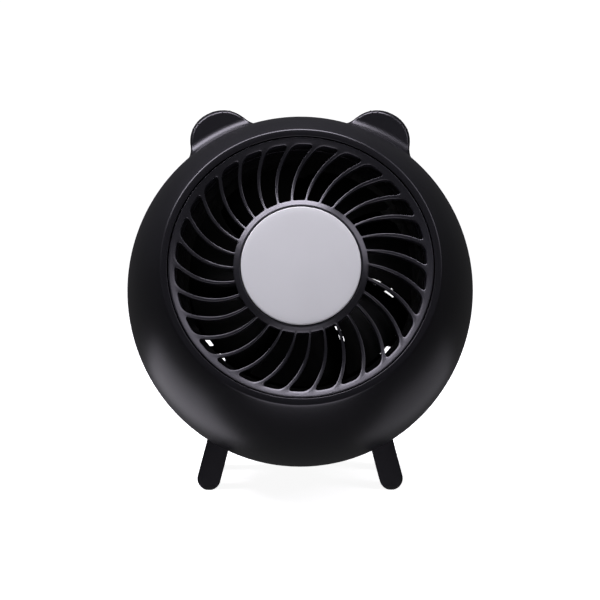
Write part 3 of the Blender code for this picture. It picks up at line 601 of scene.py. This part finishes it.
def rear_shell_mesh():
    """Cells of 12 degrees in three rings, each with a rounded slot or plain, between cap and skirt.

    A slot is half a cell wide. Its lip is a quarter round: the outline grows by the lip times one
    less the sine of the turn, and sinks by the lip times one less the cosine. Below the lip it
    goes straight through the wall.
    """
    shape = settings().housing
    wall, lip = shape.wall, 0.45 * MM
    sheets = Sheets()
    sides, ends = 10, 6
    square = square_loop(sides, ends)
    sector = radians(360 / SLOT_SECTORS)
    arcs = np.linspace(0, pi / 2, 5)
    for low, high in SLOT_RINGS:
        middle = radians(low + high) / 2
        half_cell = radians(5)
        half_slot = radians(high - low) / 2
        for number in range(SLOT_SECTORS):
            azimuth = (number + 0.25) * sector
            if SLOTLESS[0] < np.degrees(azimuth) < SLOTLESS[1]:
                x = -np.cos(np.linspace(0, pi, ends + 1))[:, None]
                y = -np.cos(np.linspace(0, pi, sides + 1))[None, :]
                for depth in (0.0, wall):
                    patch = bowl(azimuth + x * sector / 2 + 0 * y, middle + y * half_cell + 0 * x, depth)
                    sheets.add(to_head(patch))
                continue
            rows = [(square[:, 0] * sector / 2, square[:, 1] * half_cell, 0.0)]
            across = BALL_R * sin(middle)
            for turn in arcs:
                grow = lip * (1 - sin(turn))
                half_x = sector / 4 * across + grow
                half_y = half_slot * BALL_R + grow
                corner = min(1.1 * MM, half_x * 0.8) + grow
                loop = round_corners(square, np.full(len(square), corner / half_x),
                                     np.full(len(square), corner / half_y))
                rows.append((loop[:, 0] * half_x / across, loop[:, 1] * half_y / BALL_R,
                             lip * (1 - cos(turn))))
            rows.append((rows[-1][0], rows[-1][1], wall))
            rows.append((rows[0][0], rows[0][1], wall))
            grid = np.stack([bowl(azimuth + x, middle + y, depth) for x, y, depth in rows])
            sheets.add(to_head(grid), False, True)
    x = -np.cos(np.linspace(0, pi, ends + 1))[:-1]
    around = ((np.arange(SLOT_SECTORS)[:, None] + 0.25) * sector + x * sector / 2).ravel()[None, :]
    cap = np.linspace(0, CELLS_START, 8)[:, None]
    last = np.arccos(shape.seam / 2 / BALL_R)
    skirt = np.linspace(CELLS_END, last, 34)[:, None]
    for polar in (cap, skirt):
        for depth in (0.0, wall):
            points = bowl(around + 0 * polar, polar + 0 * around, depth)
            if polar is skirt:
                points[-1, :, 2] = -shape.seam / 2
                points[-1, :, :2] *= (BALL_R - (SEAM_BREAK if depth == 0 else wall)) / np.linalg.norm(
                    points[-1, :, :2], axis=1, keepdims=True)
            sheets.add(to_head(points), False, True)
            if polar is skirt:
                edge = points[-1] if depth == 0 else np.stack([edge, points[-1]])
    sheets.add(to_head(edge), False, True)
    return sheets.mesh("rear_shell")


def prism_points(outline, levels):
    """Closed column of (grow, height) levels over an outline.

    Each level stretches the outline about its middle, until its furthest points have moved by grow.
    """
    centre = outline.mean(0)
    rows = [np.concatenate([np.repeat(centre[None], len(outline), 0),
                            np.full((len(outline), 1), levels[0][1])], 1)]
    for grow, height in levels:
        size = np.abs(outline - centre).max(0)
        ring = centre + (outline - centre) * (1 + grow / size)
        rows.append(np.concatenate([ring, np.full((len(outline), 1), height)], 1))
    rows.append(np.concatenate([np.repeat(centre[None], len(outline), 0),
                                np.full((len(outline), 1), levels[-1][1])], 1))
    return np.stack(rows)


def rounded_rectangle(width, height, corner, centre=(0.0, 0.0), points=8):
    """Rectangle whose corners are arcs of radius corner, tangent to both sides."""
    x, y = width / 2, height / 2
    loop = soft_loop([(-x, -y, corner), (x, -y, corner), (x, y, corner), (-x, y, corner)], True, points)
    return loop + centre


HOUSING_SCREWS = [(61 * MM * cos(radians(a)), 61 * MM * sin(radians(a))) for a in (30, 150, 210, 330)]
SOCKET_X, BUTTON_X = -8.0 * MM, 8.0 * MM
RECESS_FLOOR = 71.0 * MM
BUTTON_R = 4.2 * MM


def circle(radius, centre=(0.0, 0.0), points=40):
    """Points on a circle at even angles."""
    angle = np.linspace(0, 2 * pi, points, endpoint=False)
    return np.stack([centre[0] + radius * np.cos(angle), centre[1] + radius * np.sin(angle)], 1)


def rear_housing_mesh():
    """The slotted shell with screw tubes and a recess pad joined on, then their holes cut."""
    solid = Sheets()
    pad = rounded_rectangle(37 * MM, 16 * MM, 1.5 * MM)
    solid.add(to_panel(prism_points(pad, [(0, RECESS_FLOOR - 2 * MM), (0, 73.4 * MM)])), False, True)
    for place in HOUSING_SCREWS:
        tube = prism_points(circle(4.4 * MM, place), [(0, -41.8 * MM), (0, -0.3 * MM)])
        solid.add(to_head(tube), False, True)
    holes = Sheets()
    recess = rounded_rectangle(32 * MM, 13 * MM, 2.5 * MM)
    holes.add(to_panel(prism_points(recess, [(0, RECESS_FLOOR), (0, 73.6 * MM), (0.9 * MM, 75.6 * MM)])),
              False, True)
    mouth = rounded_rectangle(10.0 * MM, 4.2 * MM, 1.6 * MM, (SOCKET_X, 0))
    button = circle(BUTTON_R + 0.25 * MM, (BUTTON_X, 0), 64)
    low = RECESS_FLOOR - 4 * MM
    mouths = Sheets()
    for outline in (mouth, button):
        chamfer = [(0, low), (0, RECESS_FLOOR - 0.25 * MM), (0.35 * MM, RECESS_FLOOR + 0.1 * MM)]
        mouths.add(to_panel(prism_points(outline, chamfer)), False, True)
    for place in HOUSING_SCREWS:
        steps = [(0.0, -62 * MM), (0.0, -10 * MM)]
        holes.add(to_head(prism_points(circle(3.0 * MM, place), steps)), False, True)
    mesh = combine(rear_shell_mesh(), solid.mesh("joined"), "UNION")
    mesh = combine(mesh, holes.mesh("holes"), "DIFFERENCE")
    return combine(mesh, mouths.mesh("mouths"), "DIFFERENCE")


# ---------------------------------------------------------------- grille

SLOT_IN, SLOT_OUT = 27.0 * MM, 50.2 * MM      # the slots between the ribs start and end here
FACE_IN, FACE_OUT = 24.4 * MM, 52.6 * MM      # the trough lies between these radii
GRILLE_IN, GRILLE_OUT = 24.3 * MM, 52.8 * MM
GRILLE_BACK = 57.3 * MM
RIB_WIDTHS = (0.95 * MM, 1.9 * MM)            # at the hub and at the ring


def along_rib(radius, low=0.0, high=1.0):
    """Share of the way from the slots' inner end to their outer end."""
    return np.clip((radius - SLOT_IN) / (SLOT_OUT - SLOT_IN), low, high)


def rib_half_width(radius):
    """Half of a rib's width: it grows evenly from hub to ring."""
    hub, ring = RIB_WIDTHS
    return (hub + (ring - hub) * along_rib(radius)) / 2


def rib_angle(radius):
    """Middle line of a rib: part of the sweep grows evenly, part with the square of the radius."""
    shape = settings().grille
    share = along_rib(radius, -0.15, 1.15)
    return shape.start - shape.sweep * ((1 - shape.curl) * share + shape.curl * share * np.abs(share))


def grille_front(radius):
    """Front face: a shallow round trough between the hub's edge and the rim."""
    shape = settings().grille
    share = np.clip((radius - FACE_IN) / (FACE_OUT - FACE_IN), 0, 1)
    return shape.front - shape.trough * np.sin(pi * share) ** 0.9


def grille_mesh():
    """Thirty cells, each a loop of rows from the rib's ridge over its rounded edge and down the slot."""
    shape = settings().grille
    sector = 2 * pi / shape.ribs
    cell_in, cell_out = 25.1 * MM, 52.1 * MM
    sides, ends = 26, 12
    square = square_loop(sides, ends)
    y_side = (square[:, 1] + 1) / 2
    lip, depth = 0.32 * MM, 3.0 * MM
    sheets = Sheets()

    def outline(grow):
        """Slot outline: share across the sector (0 to 1) and radius, grown by grow all round."""
        outer = square[:, 1] > 0
        corner = np.where(outer, 2.1 * MM, 0.45 * MM) + grow
        wide = np.where(outer, 0.5 * sector * SLOT_OUT - rib_half_width(SLOT_OUT),
                        0.5 * sector * SLOT_IN - rib_half_width(SLOT_IN))
        loop = round_corners(square, corner / wide, corner / ((SLOT_OUT - SLOT_IN) / 2))
        radius = SLOT_IN - grow + (SLOT_OUT - SLOT_IN + 2 * grow) * (loop[:, 1] + 1) / 2
        half = rib_half_width(radius) - grow
        half_share = 0.5 - half / (radius * sector)
        return 0.5 + loop[:, 0] * half_share, radius

    border_share = 0.5 + square[:, 0] * 0.5
    border_radius = cell_in + (cell_out - cell_in) * y_side
    edge_share, edge_radius = outline(lip)
    rows = [(border_share, border_radius, 0.0),
            ((border_share + edge_share) / 2, (border_radius + edge_radius) / 2, 0.0)]
    rows += [(*outline(lip * (1 - sin(a))), lip * (1 - cos(a))) for a in np.linspace(0, pi / 2, 5)]
    rows += [(*outline(0.0), depth / 2), (*outline(0.0), depth), (border_share, border_radius, depth)]
    for number in range(shape.ribs):
        grid = []
        for share, radius, sink in rows:
            angle = (number + share) * sector + rib_angle(radius)
            height = grille_front(radius) - sink
            grid.append(np.stack([radius * np.cos(angle), radius * np.sin(angle), height], -1))
        sheets.add(to_head(np.stack(grid)), False, True)
    along = (1 - np.cos(np.linspace(0, pi, ends + 1))[:-1]) / 2
    numbers = np.arange(shape.ribs)[:, None]

    def ring(profile, joined_at):
        """Turn a profile through the angles that the cells have where they meet it."""
        angle = ((numbers + along) * sector + rib_angle(np.array(joined_at))).ravel()
        radius, height = profile[:, 0, None], profile[:, 1, None]
        return np.stack([radius * np.cos(angle), radius * np.sin(angle), height + 0 * angle], -1)

    front_out, front_in = float(grille_front(cell_out)), float(grille_front(cell_in))
    top_out = float(grille_front(GRILLE_OUT))
    outer = soft_loop([(cell_out, front_out, 0), (GRILLE_OUT, top_out, 0.3 * MM),
                       (GRILLE_OUT, GRILLE_BACK, 0.2 * MM), (50.9 * MM, GRILLE_BACK, 0.2 * MM),
                       (51.2 * MM, front_out - depth, 0),
                       (cell_out, front_out - depth, 0)], False)
    sheets.add(to_head(ring(outer, cell_out)), False, True)
    top_in = float(grille_front(FACE_IN))
    inner = soft_loop([(cell_in, front_in, 0), (GRILLE_IN, top_in, 0.35 * MM), (GRILLE_IN, 62.2 * MM, 0),
                       (8.6 * MM, 62.2 * MM, 0), (8.6 * MM, 60.2 * MM, 0), (25.6 * MM, 60.2 * MM, 0.3 * MM),
                       (25.6 * MM, front_in - depth, 0), (cell_in, front_in - depth, 0)], False)
    sheets.add(to_head(ring(inner, cell_in)), False, True)
    return sheets.mesh("grille")


def disc_mesh():
    """Plain disc with a softly rounded edge and a very slight dome, on a short stem."""
    edge = settings().grille.disc
    top = soft_loop([(0, 67.0 * MM, 0), (21.0 * MM, 66.95 * MM, 0), (edge, 66.75 * MM, 0.5 * MM),
                     (edge, 64.4 * MM, 0.2 * MM), (8.2 * MM, 64.4 * MM, 0), (8.2 * MM, 60.6 * MM, 0.2 * MM),
                     (0, 60.6 * MM, 0)], False, 8)
    sheets = Sheets()
    sheets.add(to_head(turned_grid(top, 192)), False, True)
    return sheets.mesh("disc")


# ---------------------------------------------------------------- impeller

BLADES = 7
BLADE_START = radians(24.4)
BLADE_SWEEP = radians(16)                        # how far a blade's tip trails its root
BLADE_WIDTHS = (radians(50.6), radians(49.1))    # at the root and at the tip
BLADE_ENDS = (14 * MM, 45.8 * MM)                # radius of root, inside the hub, and of tip
HUB_R = 15 * MM
HUB_INSIDE = 12.9 * MM
BORE_R = 1.06 * MM


def impeller_mesh():
    """Hub cup and twisted blades whose section is a thin cambered airfoil.

    A blade's angle falls with the square of the share of its span, its height falls evenly across
    its chord, and camber and thickness are largest at mid chord and nothing at its edges.
    """
    sheets = Sheets()
    base = 37.6 * MM
    hub = soft_loop([(BORE_R, 41 * MM, 0), (4 * MM, 41 * MM, 0.2 * MM), (4 * MM, 51 * MM, 0),
                     (HUB_INSIDE, 51 * MM, 0), (HUB_INSIDE, base, 0.2 * MM), (HUB_R, base, 0.3 * MM),
                     (HUB_R, 50 * MM, 2.0 * MM), (12 * MM, 53 * MM, 1.0 * MM), (BORE_R, 53 * MM, 0.1 * MM)])
    sheets.add(to_head(turned_grid(hub, 96)), True, True)
    turn = np.linspace(0, 2 * pi, 36, endpoint=False)
    along = -np.cos(turn) / 2
    span = np.linspace(0, 1, 24)[:, None]
    root_r, tip_r = BLADE_ENDS
    radius = root_r + (tip_r - root_r) * span
    soft = np.clip((1 - span) / 0.08, 0, 1) ** 0.5
    root_width, tip_width = BLADE_WIDTHS
    width = root_width + (tip_width - root_width) * span
    corner = 1 - 0.10 * (1 - soft)
    thickness = 1.5 * MM * (1 - 0.45 * span) * np.sqrt(np.clip(1 - (2 * along) ** 2, 0, 1))
    camber = 1.6 * MM * (1 - (2 * along) ** 2)
    for number in range(BLADES):
        angle = BLADE_START + 2 * pi * number / BLADES - BLADE_SWEEP * span ** 2 + width * along * corner
        height = base + 7.2 * MM - 12.0 * MM * along * (1 - 0.28 * span) + camber
        height = height + np.sign(np.sin(turn)) * thickness / 2
        grid = np.stack([radius * np.cos(angle), radius * np.sin(angle), height], -1)
        root, tip = grid[:1].mean(1, keepdims=True), grid[-1:].mean(1, keepdims=True)
        grid = np.concatenate([np.repeat(root, len(turn), 1), grid, np.repeat(tip, len(turn), 1)])
        sheets.add(to_head(grid), False, True)
    return sheets.mesh("impeller")


# ---------------------------------------------------------------- legs

LEG_SPLAY = radians(14.7)
LEG_HALF_WIDTH, LEG_HALF_DEPTH = 5.1 * MM, 7.5 * MM
LEG_END = 4.95 * MM
PAD_TOP = 1.6 * MM


def rounded_depths(edge, steps):
    """(shrink, depth) levels through a leg: a quarter round in front and another behind."""
    ease = np.linspace(0, pi / 2, steps)
    front = [(edge * (1 - sin(a)), -LEG_HALF_DEPTH + edge * (1 - cos(a))) for a in ease]
    behind = [(edge * (1 - cos(a)), LEG_HALF_DEPTH - edge + edge * sin(a)) for a in ease]
    return front + behind


def leg_axis(name):
    """Centre of the round end and the direction up the leg, from the pad's box."""
    low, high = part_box(f"{name}_foot_pad")
    side = 1 if low.x > 0 else -1
    end = np.array([(low.x + high.x) / 2, (low.y + high.y) / 2, LEG_END])
    return end, np.array([-side * sin(LEG_SPLAY), 0, cos(LEG_SPLAY)])


def leg_mesh(name):
    """A flat bar: a U-shaped outline in front, carried back over rounded edges, cut off above the pad.

    Each point runs up the leg until it meets the ball, just inside the wall.
    """
    end, up = leg_axis(name)
    across = np.array([up[2], 0, -up[0]])
    back = np.array([0.0, 1.0, 0.0])
    turn = np.linspace(pi, 2 * pi, 49)
    rise = np.linspace(0, 1, 14)[1:, None]
    levels = rounded_depths(0.7 * MM, 6)
    rows = []
    for shrink, deep in [(LEG_HALF_WIDTH, levels[0][1]), *levels, (LEG_HALF_WIDTH, levels[-1][1])]:
        half = LEG_HALF_WIDTH - shrink
        bowed = np.stack([half * np.cos(turn), half * np.sin(turn)], 1)
        left = np.concatenate([np.full_like(rise, -half), rise], 1)[::-1]
        right = np.concatenate([np.full_like(rise, half), rise], 1)
        foot = end + bowed[:, :1] * across + bowed[:, 1:] * up + deep * back
        points = [foot]
        for part in (left, right):
            start = end + part[:, :1] * across + deep * back
            offset = start - BALL_CENTRE
            along = offset @ up
            gone = -along - np.sqrt(along ** 2 - (offset ** 2).sum(1) + (BALL_R - 0.5 * MM) ** 2)
            points.append(start + (part[:, 1] * gone)[:, None] * up)
        rows.append(np.concatenate([points[1], points[0], points[2]]))
    grid = np.stack(rows)
    grid[..., 2] = np.maximum(grid[..., 2], PAD_TOP + 0.08 * MM)
    sheets = Sheets()
    sheets.add(grid, False, True)
    return sheets.mesh(f"{name}_leg_bar", 1e-6)


def pad_mesh(name):
    """The rest of the round end, with a flat sole: the same outline from the floor to the pad's top."""
    end, _ = leg_axis(name)
    stations = rounded_depths(0.5 * MM, 5)
    rows = []
    for shrink, deep in [(None, stations[0][1]), *stations, (None, stations[-1][1])]:
        half = LEG_HALF_WIDTH - (shrink or 0)
        crown = asin((end[2] - PAD_TOP) / half)
        turn = np.linspace(pi + crown, 2 * pi - crown, 41)
        outline = np.stack([half * np.cos(turn), end[2] + half * np.sin(turn)], 1)
        outline[:, 1] = np.maximum(outline[:, 1], 0.0)
        lid = np.linspace(outline[-1], outline[0], 8)[1:-1]
        outline = np.concatenate([outline, lid])
        if shrink is None:
            outline = np.repeat([[0.0, PAD_TOP * 0.6]], len(outline), 0)
        rows.append(np.stack([end[0] + outline[:, 0], np.full(len(outline), end[1] + deep),
                              outline[:, 1]], 1))
    sheets = Sheets()
    sheets.add(np.stack(rows), False, True)
    return sheets.mesh(f"{name}_pad_rubber", 1e-6)


# ---------------------------------------------------------------- controls and screws

def button_mesh():
    """Round cap with a dished top and a flange under the wall."""
    top, base, under = RECESS_FLOOR + 2.6 * MM, 67.5 * MM, RECESS_FLOOR - 2.3 * MM
    r = BUTTON_R
    profile = soft_loop([(0, top - 0.5 * MM, 0), (r * 0.5, top - 0.35 * MM, 0), (r, top, 0.6 * MM),
                         (r, under, 0), (r + 0.6 * MM, under, 0.1 * MM), (r + 0.6 * MM, base, 0.1 * MM),
                         (0, base, 0)], False, 7)
    sheets = Sheets()
    sheets.add(to_panel(turned_grid(profile, 72, (BUTTON_X, 0))), False, True)
    return sheets.mesh("button")


def socket_meshes():
    """Drawn metal shell with a rolled lip, and the contact tongue inside it."""
    low, high = 61.9 * MM, RECESS_FLOOR - 0.1 * MM
    outline = rounded_rectangle(9.3 * MM, 3.5 * MM, 1.5 * MM, (SOCKET_X, 0), 8)
    levels = [(0, low), (0, high - 0.15 * MM), (-0.15 * MM, high), (-0.42 * MM, high - 0.1 * MM),
              (-0.5 * MM, high - 0.4 * MM), (-0.5 * MM, high - 6.5 * MM)]
    shell = Sheets()
    shell.add(to_panel(prism_points(outline, levels)), False, True)
    tongue = Sheets()
    outline = rounded_rectangle(6.6 * MM, 0.75 * MM, 0.2 * MM, (SOCKET_X, 0), 4)
    levels = [(0, high - 6.5 * MM), (0, high - 1.2 * MM), (-0.2 * MM, high - 1.0 * MM)]
    tongue.add(to_panel(prism_points(outline, levels)), False, True)
    return shell.mesh("socket"), tongue.mesh("tongue")


def screw_mesh(place, seat, head_r, head_h, shank_r, length, to_world):
    """Pan head with a cross recess pressed into its dome, seen from below z = seat."""
    steps = 96
    angle = np.linspace(0, 2 * pi, steps, endpoint=False)
    radius = np.concatenate([np.linspace(0, 0.86, 18) * head_r, head_r * np.array([0.93, 0.98, 1.0, 1.0]),
                             [shank_r, shank_r, shank_r * 0.4, 0.0]])
    dome = np.sqrt(np.clip(1 - (radius[:20] / head_r) ** 2 * 0.55, 0, 1))
    height = np.concatenate([-head_h * dome, [-head_h * 0.45, 0.0], [0.0, length - 1 * MM, length, length]])
    x, y = radius[:, None] * np.cos(angle), radius[:, None] * np.sin(angle)
    lengths, widths = np.abs(x), np.abs(y)
    arm = np.minimum(np.maximum(lengths / 0.62, widths / 0.16), np.maximum(widths / 0.62, lengths / 0.16))
    depth = np.clip((head_r - arm) / (head_r * 0.12), 0, 1) * head_h * 0.62
    depth[20:] = 0
    grid = np.stack([place[0] + x, place[1] + y, seat + height[:, None] + depth], -1)
    sheets = Sheets()
    sheets.add(to_world(grid), False, True)
    return sheets.mesh("screw")


# ---------------------------------------------------------------- operators

class FAN_OT_front_housing(bpy.types.Operator):
    """Turn the front half of the ball"""
    bl_idname = "fan.front_housing"
    bl_label = "Front housing"

    def execute(self, context):
        add_piece("front_shell", front_housing_mesh(), finish("moulded_abs_charcoal"), "housing",
                  ["front_housing"])
        for name, side in (("left_ear", -1), ("right_ear", 1)):
            mesh, field = ear_mesh(side)
            add_piece(name, mesh, finish("moulded_abs_charcoal"), "housing", ["front_housing"],
                      180)
            exact_normals(mesh, field)
        return {"FINISHED"}


class FAN_OT_rear_housing(bpy.types.Operator):
    """Build the slotted back half with its recess and screw tubes"""
    bl_idname = "fan.rear_housing"
    bl_label = "Rear housing"

    def execute(self, context):
        add_piece("rear_shell", rear_housing_mesh(), finish("moulded_abs_charcoal"), "housing",
                  ["rear_housing"], 30)
        return {"FINISHED"}


class FAN_OT_grille(bpy.types.Operator):
    """Build the ribbed grille and the disc in its middle"""
    bl_idname = "fan.grille"
    bl_label = "Grille and disc"

    def execute(self, context):
        add_piece("ribbed_grille", grille_mesh(), finish("moulded_abs_grille"), "housing",
                  ["front_grille"])
        add_piece("centre_disc", disc_mesh(), finish("moulded_abs_light_grey"), "housing",
                  ["grille_disc"])
        return {"FINISHED"}


class FAN_OT_impeller(bpy.types.Operator):
    """Build the seven-bladed impeller"""
    bl_idname = "fan.impeller"
    bl_label = "Impeller"

    def execute(self, context):
        add_piece("blade_wheel", impeller_mesh(), finish("black_pp_impeller"), "rotor",
                  ["impeller"])
        return {"FINISHED"}


class FAN_OT_legs(bpy.types.Operator):
    """Build the four legs and their rubber pads"""
    bl_idname = "fan.legs"
    bl_label = "Legs"

    def execute(self, context):
        for name in LEG_NAMES:
            add_piece(f"{name}_leg_bar", leg_mesh(name), finish("matte_black_leg"), "housing",
                      [f"{name}_leg"])
            add_piece(f"{name}_pad_rubber", pad_mesh(name), finish("black_rubber"), "housing",
                      [f"{name}_foot_pad"])
        return {"FINISHED"}


class FAN_OT_controls(bpy.types.Operator):
    """Build the button and the inlet socket"""
    bl_idname = "fan.controls"
    bl_label = "Controls"

    def execute(self, context):
        add_piece("push_button", button_mesh(), finish("moulded_abs_grille"), "button",
                  ["power_button"])
        shell, tongue = socket_meshes()
        add_piece("socket_shell", shell, finish("zinc_plate"), "housing", ["power_socket"])
        add_piece("socket_tongue", tongue, finish("carbon_black"), "housing", ["power_socket"])
        return {"FINISHED"}


class FAN_OT_inner_pieces(bpy.types.Operator):
    """Give every CAD node that stays its finish, and build the housing screws"""
    bl_idname = "fan.inner_pieces"
    bl_label = "Inner pieces and screws"

    def execute(self, context):
        slots = {entry["node"]: entry["material_slot"] for entry in frame["record"]["subparts"]}
        finishes = {
            "inner_plastic": "black_nylon_inner", "steel": "bright_steel", "zinc": "zinc_plate",
            "bronze": "sintered_bronze", "copper": "enamelled_copper", "ferrite": "ferrite",
            "carbon": "carbon_black", "board": "solder_mask_green", "sleeve": "blue_shrink_sleeve",
            "red_wire": "red_insulation", "black_wire": "black_insulation", "pad": "black_rubber",
            "housing": "moulded_abs_charcoal", "grille": "moulded_abs_grille",
            "disc": "moulded_abs_light_grey", "leg": "matte_black_leg",
        }
        for name, obj in frame["nodes"].items():
            material = finish(finishes[slots[name]])
            for slot in obj.material_slots:
                slot.material = material
            if not obj.material_slots:
                obj.data.materials.append(material)
        for number, place in enumerate(HOUSING_SCREWS, 1):
            mesh = screw_mesh(place, -10.3 * MM, 2.5 * MM, 1.8 * MM, 1.3 * MM, 20 * MM, to_head)
            add_piece(f"cross_head_screw_{number}", mesh, finish("blackened_screw_steel"), "housing",
                      [f"housing_screw_{number}"])
        return {"FINISHED"}


SOFTBOX_TINT = (0.93, 0.90, 1.0)     # linear; a touch of violet, as from a lamp with a cool gel
SOFTBOX_REACH = 0.9                  # metres from the ball's centre

# Name, azimuth from the front towards the right, elevation, side length in metres and power in watts.
# One overhead box, a key from the upper left with a weaker fill opposite, one broad box low in
# front for the underside of the ball, and a strip of light round each lower edge from behind.
SOFTBOXES = (
    ("overhead", 0, 85, 0.5, 10),
    ("key_upper_left", -75, 55, 0.5, 8),
    ("fill_upper_right", 60, 40, 0.5, 2),
    ("low_front", 0, -50, 0.8, 4),
    ("edge_low_left", -135, -35, 0.5, 0.6),
    ("edge_low_right", 135, -35, 0.5, 0.2),
)

# The paper sweep's flat radius, bend radius and height in metres
SWEEP_FLOOR, SWEEP_BEND, SWEEP_TOP = 1.6, 0.8, 3.0


def soft_light(name, azimuth, height, size, power):
    """A square softbox at the rig's reach from the fan, aimed at the ball's centre."""
    data = bpy.data.lights.new(name, "AREA")
    data.shape = "SQUARE"
    data.size = size
    data.energy = power
    data.color = SOFTBOX_TINT
    obj = bpy.data.objects.new(name, data)
    turn, rise = radians(azimuth), radians(height)
    away = Vector((sin(turn) * cos(rise), -cos(turn) * cos(rise), sin(rise)))
    obj.location = Vector(BALL_CENTRE) + SOFTBOX_REACH * away
    obj.rotation_mode = "QUATERNION"
    obj.rotation_quaternion = (-away).to_track_quat("-Z", "Y")
    bpy.context.scene.collection.objects.link(obj)


class FAN_OT_studio(bpy.types.Operator):
    """Lay a pale floor, hang the softboxes and set up the camera"""
    bl_idname = "fan.studio"
    bl_label = "Studio"

    def execute(self, context):
        studio = settings().studio
        paper = bpy.data.materials.new("pale_paper_sweep")
        paper.use_nodes = True
        shader = paper.node_tree.nodes["Principled BSDF"]
        shader.inputs["Base Color"].default_value = linear("#F2F2F2")
        shader.inputs["Roughness"].default_value = 0.9
        shader.inputs["Emission Color"].default_value = linear("#FFFFFF")
        shader.inputs["Emission Strength"].default_value = studio.glow
        angle = np.linspace(0, pi / 2, 24)
        profile = np.stack([SWEEP_FLOOR + SWEEP_BEND * np.sin(angle), SWEEP_BEND * (1 - np.cos(angle))], 1)
        profile = np.concatenate([[[0.0, 0.0]], profile, [[SWEEP_FLOOR + SWEEP_BEND, SWEEP_TOP]]])
        points = turned_grid(profile, 96)
        mesh = bpy.data.meshes.new("paper_sweep")
        mesh.from_pydata(points.reshape(-1, 3).tolist(), [],
                         grid_quads(*points.shape[:2], wrap_columns=True).tolist())
        mesh.materials.append(paper)
        mesh.shade_smooth()
        sweep = bpy.data.objects.new("paper_sweep", mesh)
        # Only the camera sees the paper. Mirrored in the charcoal plastic it would turn the whole
        # ball pale, and the dark between the softboxes' highlights would be lost.
        sweep.visible_diffuse = False
        sweep.visible_glossy = False
        sweep.visible_shadow = False
        context.scene.collection.objects.link(sweep)
        sweep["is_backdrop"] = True

        for softbox in SOFTBOXES:
            soft_light(*softbox)

        world = bpy.data.worlds.new("studio_air")
        world.use_nodes = True
        world.node_tree.nodes["Background"].inputs["Color"].default_value = (1, 1, 1, 1)
        world.node_tree.nodes["Background"].inputs["Strength"].default_value = studio.air
        context.scene.world = world
        context.scene.view_settings.view_transform = "Standard"

        camera = bpy.data.objects.new("camera", bpy.data.cameras.new("camera"))
        context.scene.collection.objects.link(camera)
        camera.data.lens = studio.lens
        camera.data.sensor_width = 36
        level = Vector((-sin(studio.turn), -cos(studio.turn), 0))
        back = level * cos(studio.height) + Vector((0, 0, sin(studio.height)))
        centre = Vector(BALL_CENTRE)
        place = centre + back * studio.distance
        raised = Vector((0, 0, cos(studio.height))) - level * sin(studio.height)
        camera.location = place
        camera.rotation_mode = "QUATERNION"
        camera.rotation_quaternion = (centre - raised * studio.drop - place).to_track_quat("-Z", "Y")
        context.scene.camera = camera
        return {"FINISHED"}


OPERATORS = (FAN_OT_studio, FAN_OT_inner_pieces, FAN_OT_front_housing, FAN_OT_rear_housing, FAN_OT_grille,
             FAN_OT_impeller, FAN_OT_legs, FAN_OT_controls)


class FanSettings(bpy.types.PropertyGroup):
    """All settings of the fan."""
    housing: bpy.props.PointerProperty(type=HousingSettings)
    grille: bpy.props.PointerProperty(type=GrilleSettings)
    finish: bpy.props.PointerProperty(type=FinishSettings)
    studio: bpy.props.PointerProperty(type=StudioSettings)


class FAN_PT_sidebar(bpy.types.Panel):
    """Lists the fan's pieces"""
    bl_idname = "FAN_PT_sidebar"
    bl_label = "Desk Fan"
    bl_space_type = "VIEW_3D"
    bl_region_type = "UI"
    bl_category = "Desk Fan"

    def draw(self, context):
        for operator in OPERATORS:
            self.layout.operator(operator.bl_idname)


CLASSES = (HousingSettings, GrilleSettings, FinishSettings, StudioSettings, FanSettings, *OPERATORS,
           FAN_PT_sidebar)


def register():
    for cls in CLASSES:
        bpy.utils.register_class(cls)
    bpy.types.Scene.desk_fan = bpy.props.PointerProperty(type=FanSettings)


def unregister():
    del bpy.types.Scene.desk_fan
    for cls in reversed(CLASSES):
        bpy.utils.unregister_class(cls)


def corners():
    """The shown object's box as plain lists."""
    return [list(corner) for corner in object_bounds()]


def main():
    register()
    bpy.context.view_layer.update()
    for operator in OPERATORS:
        area, name = operator.bl_idname.split(".")
        getattr(getattr(bpy.ops, area), name)()


if __name__ == "__main__":
    main()
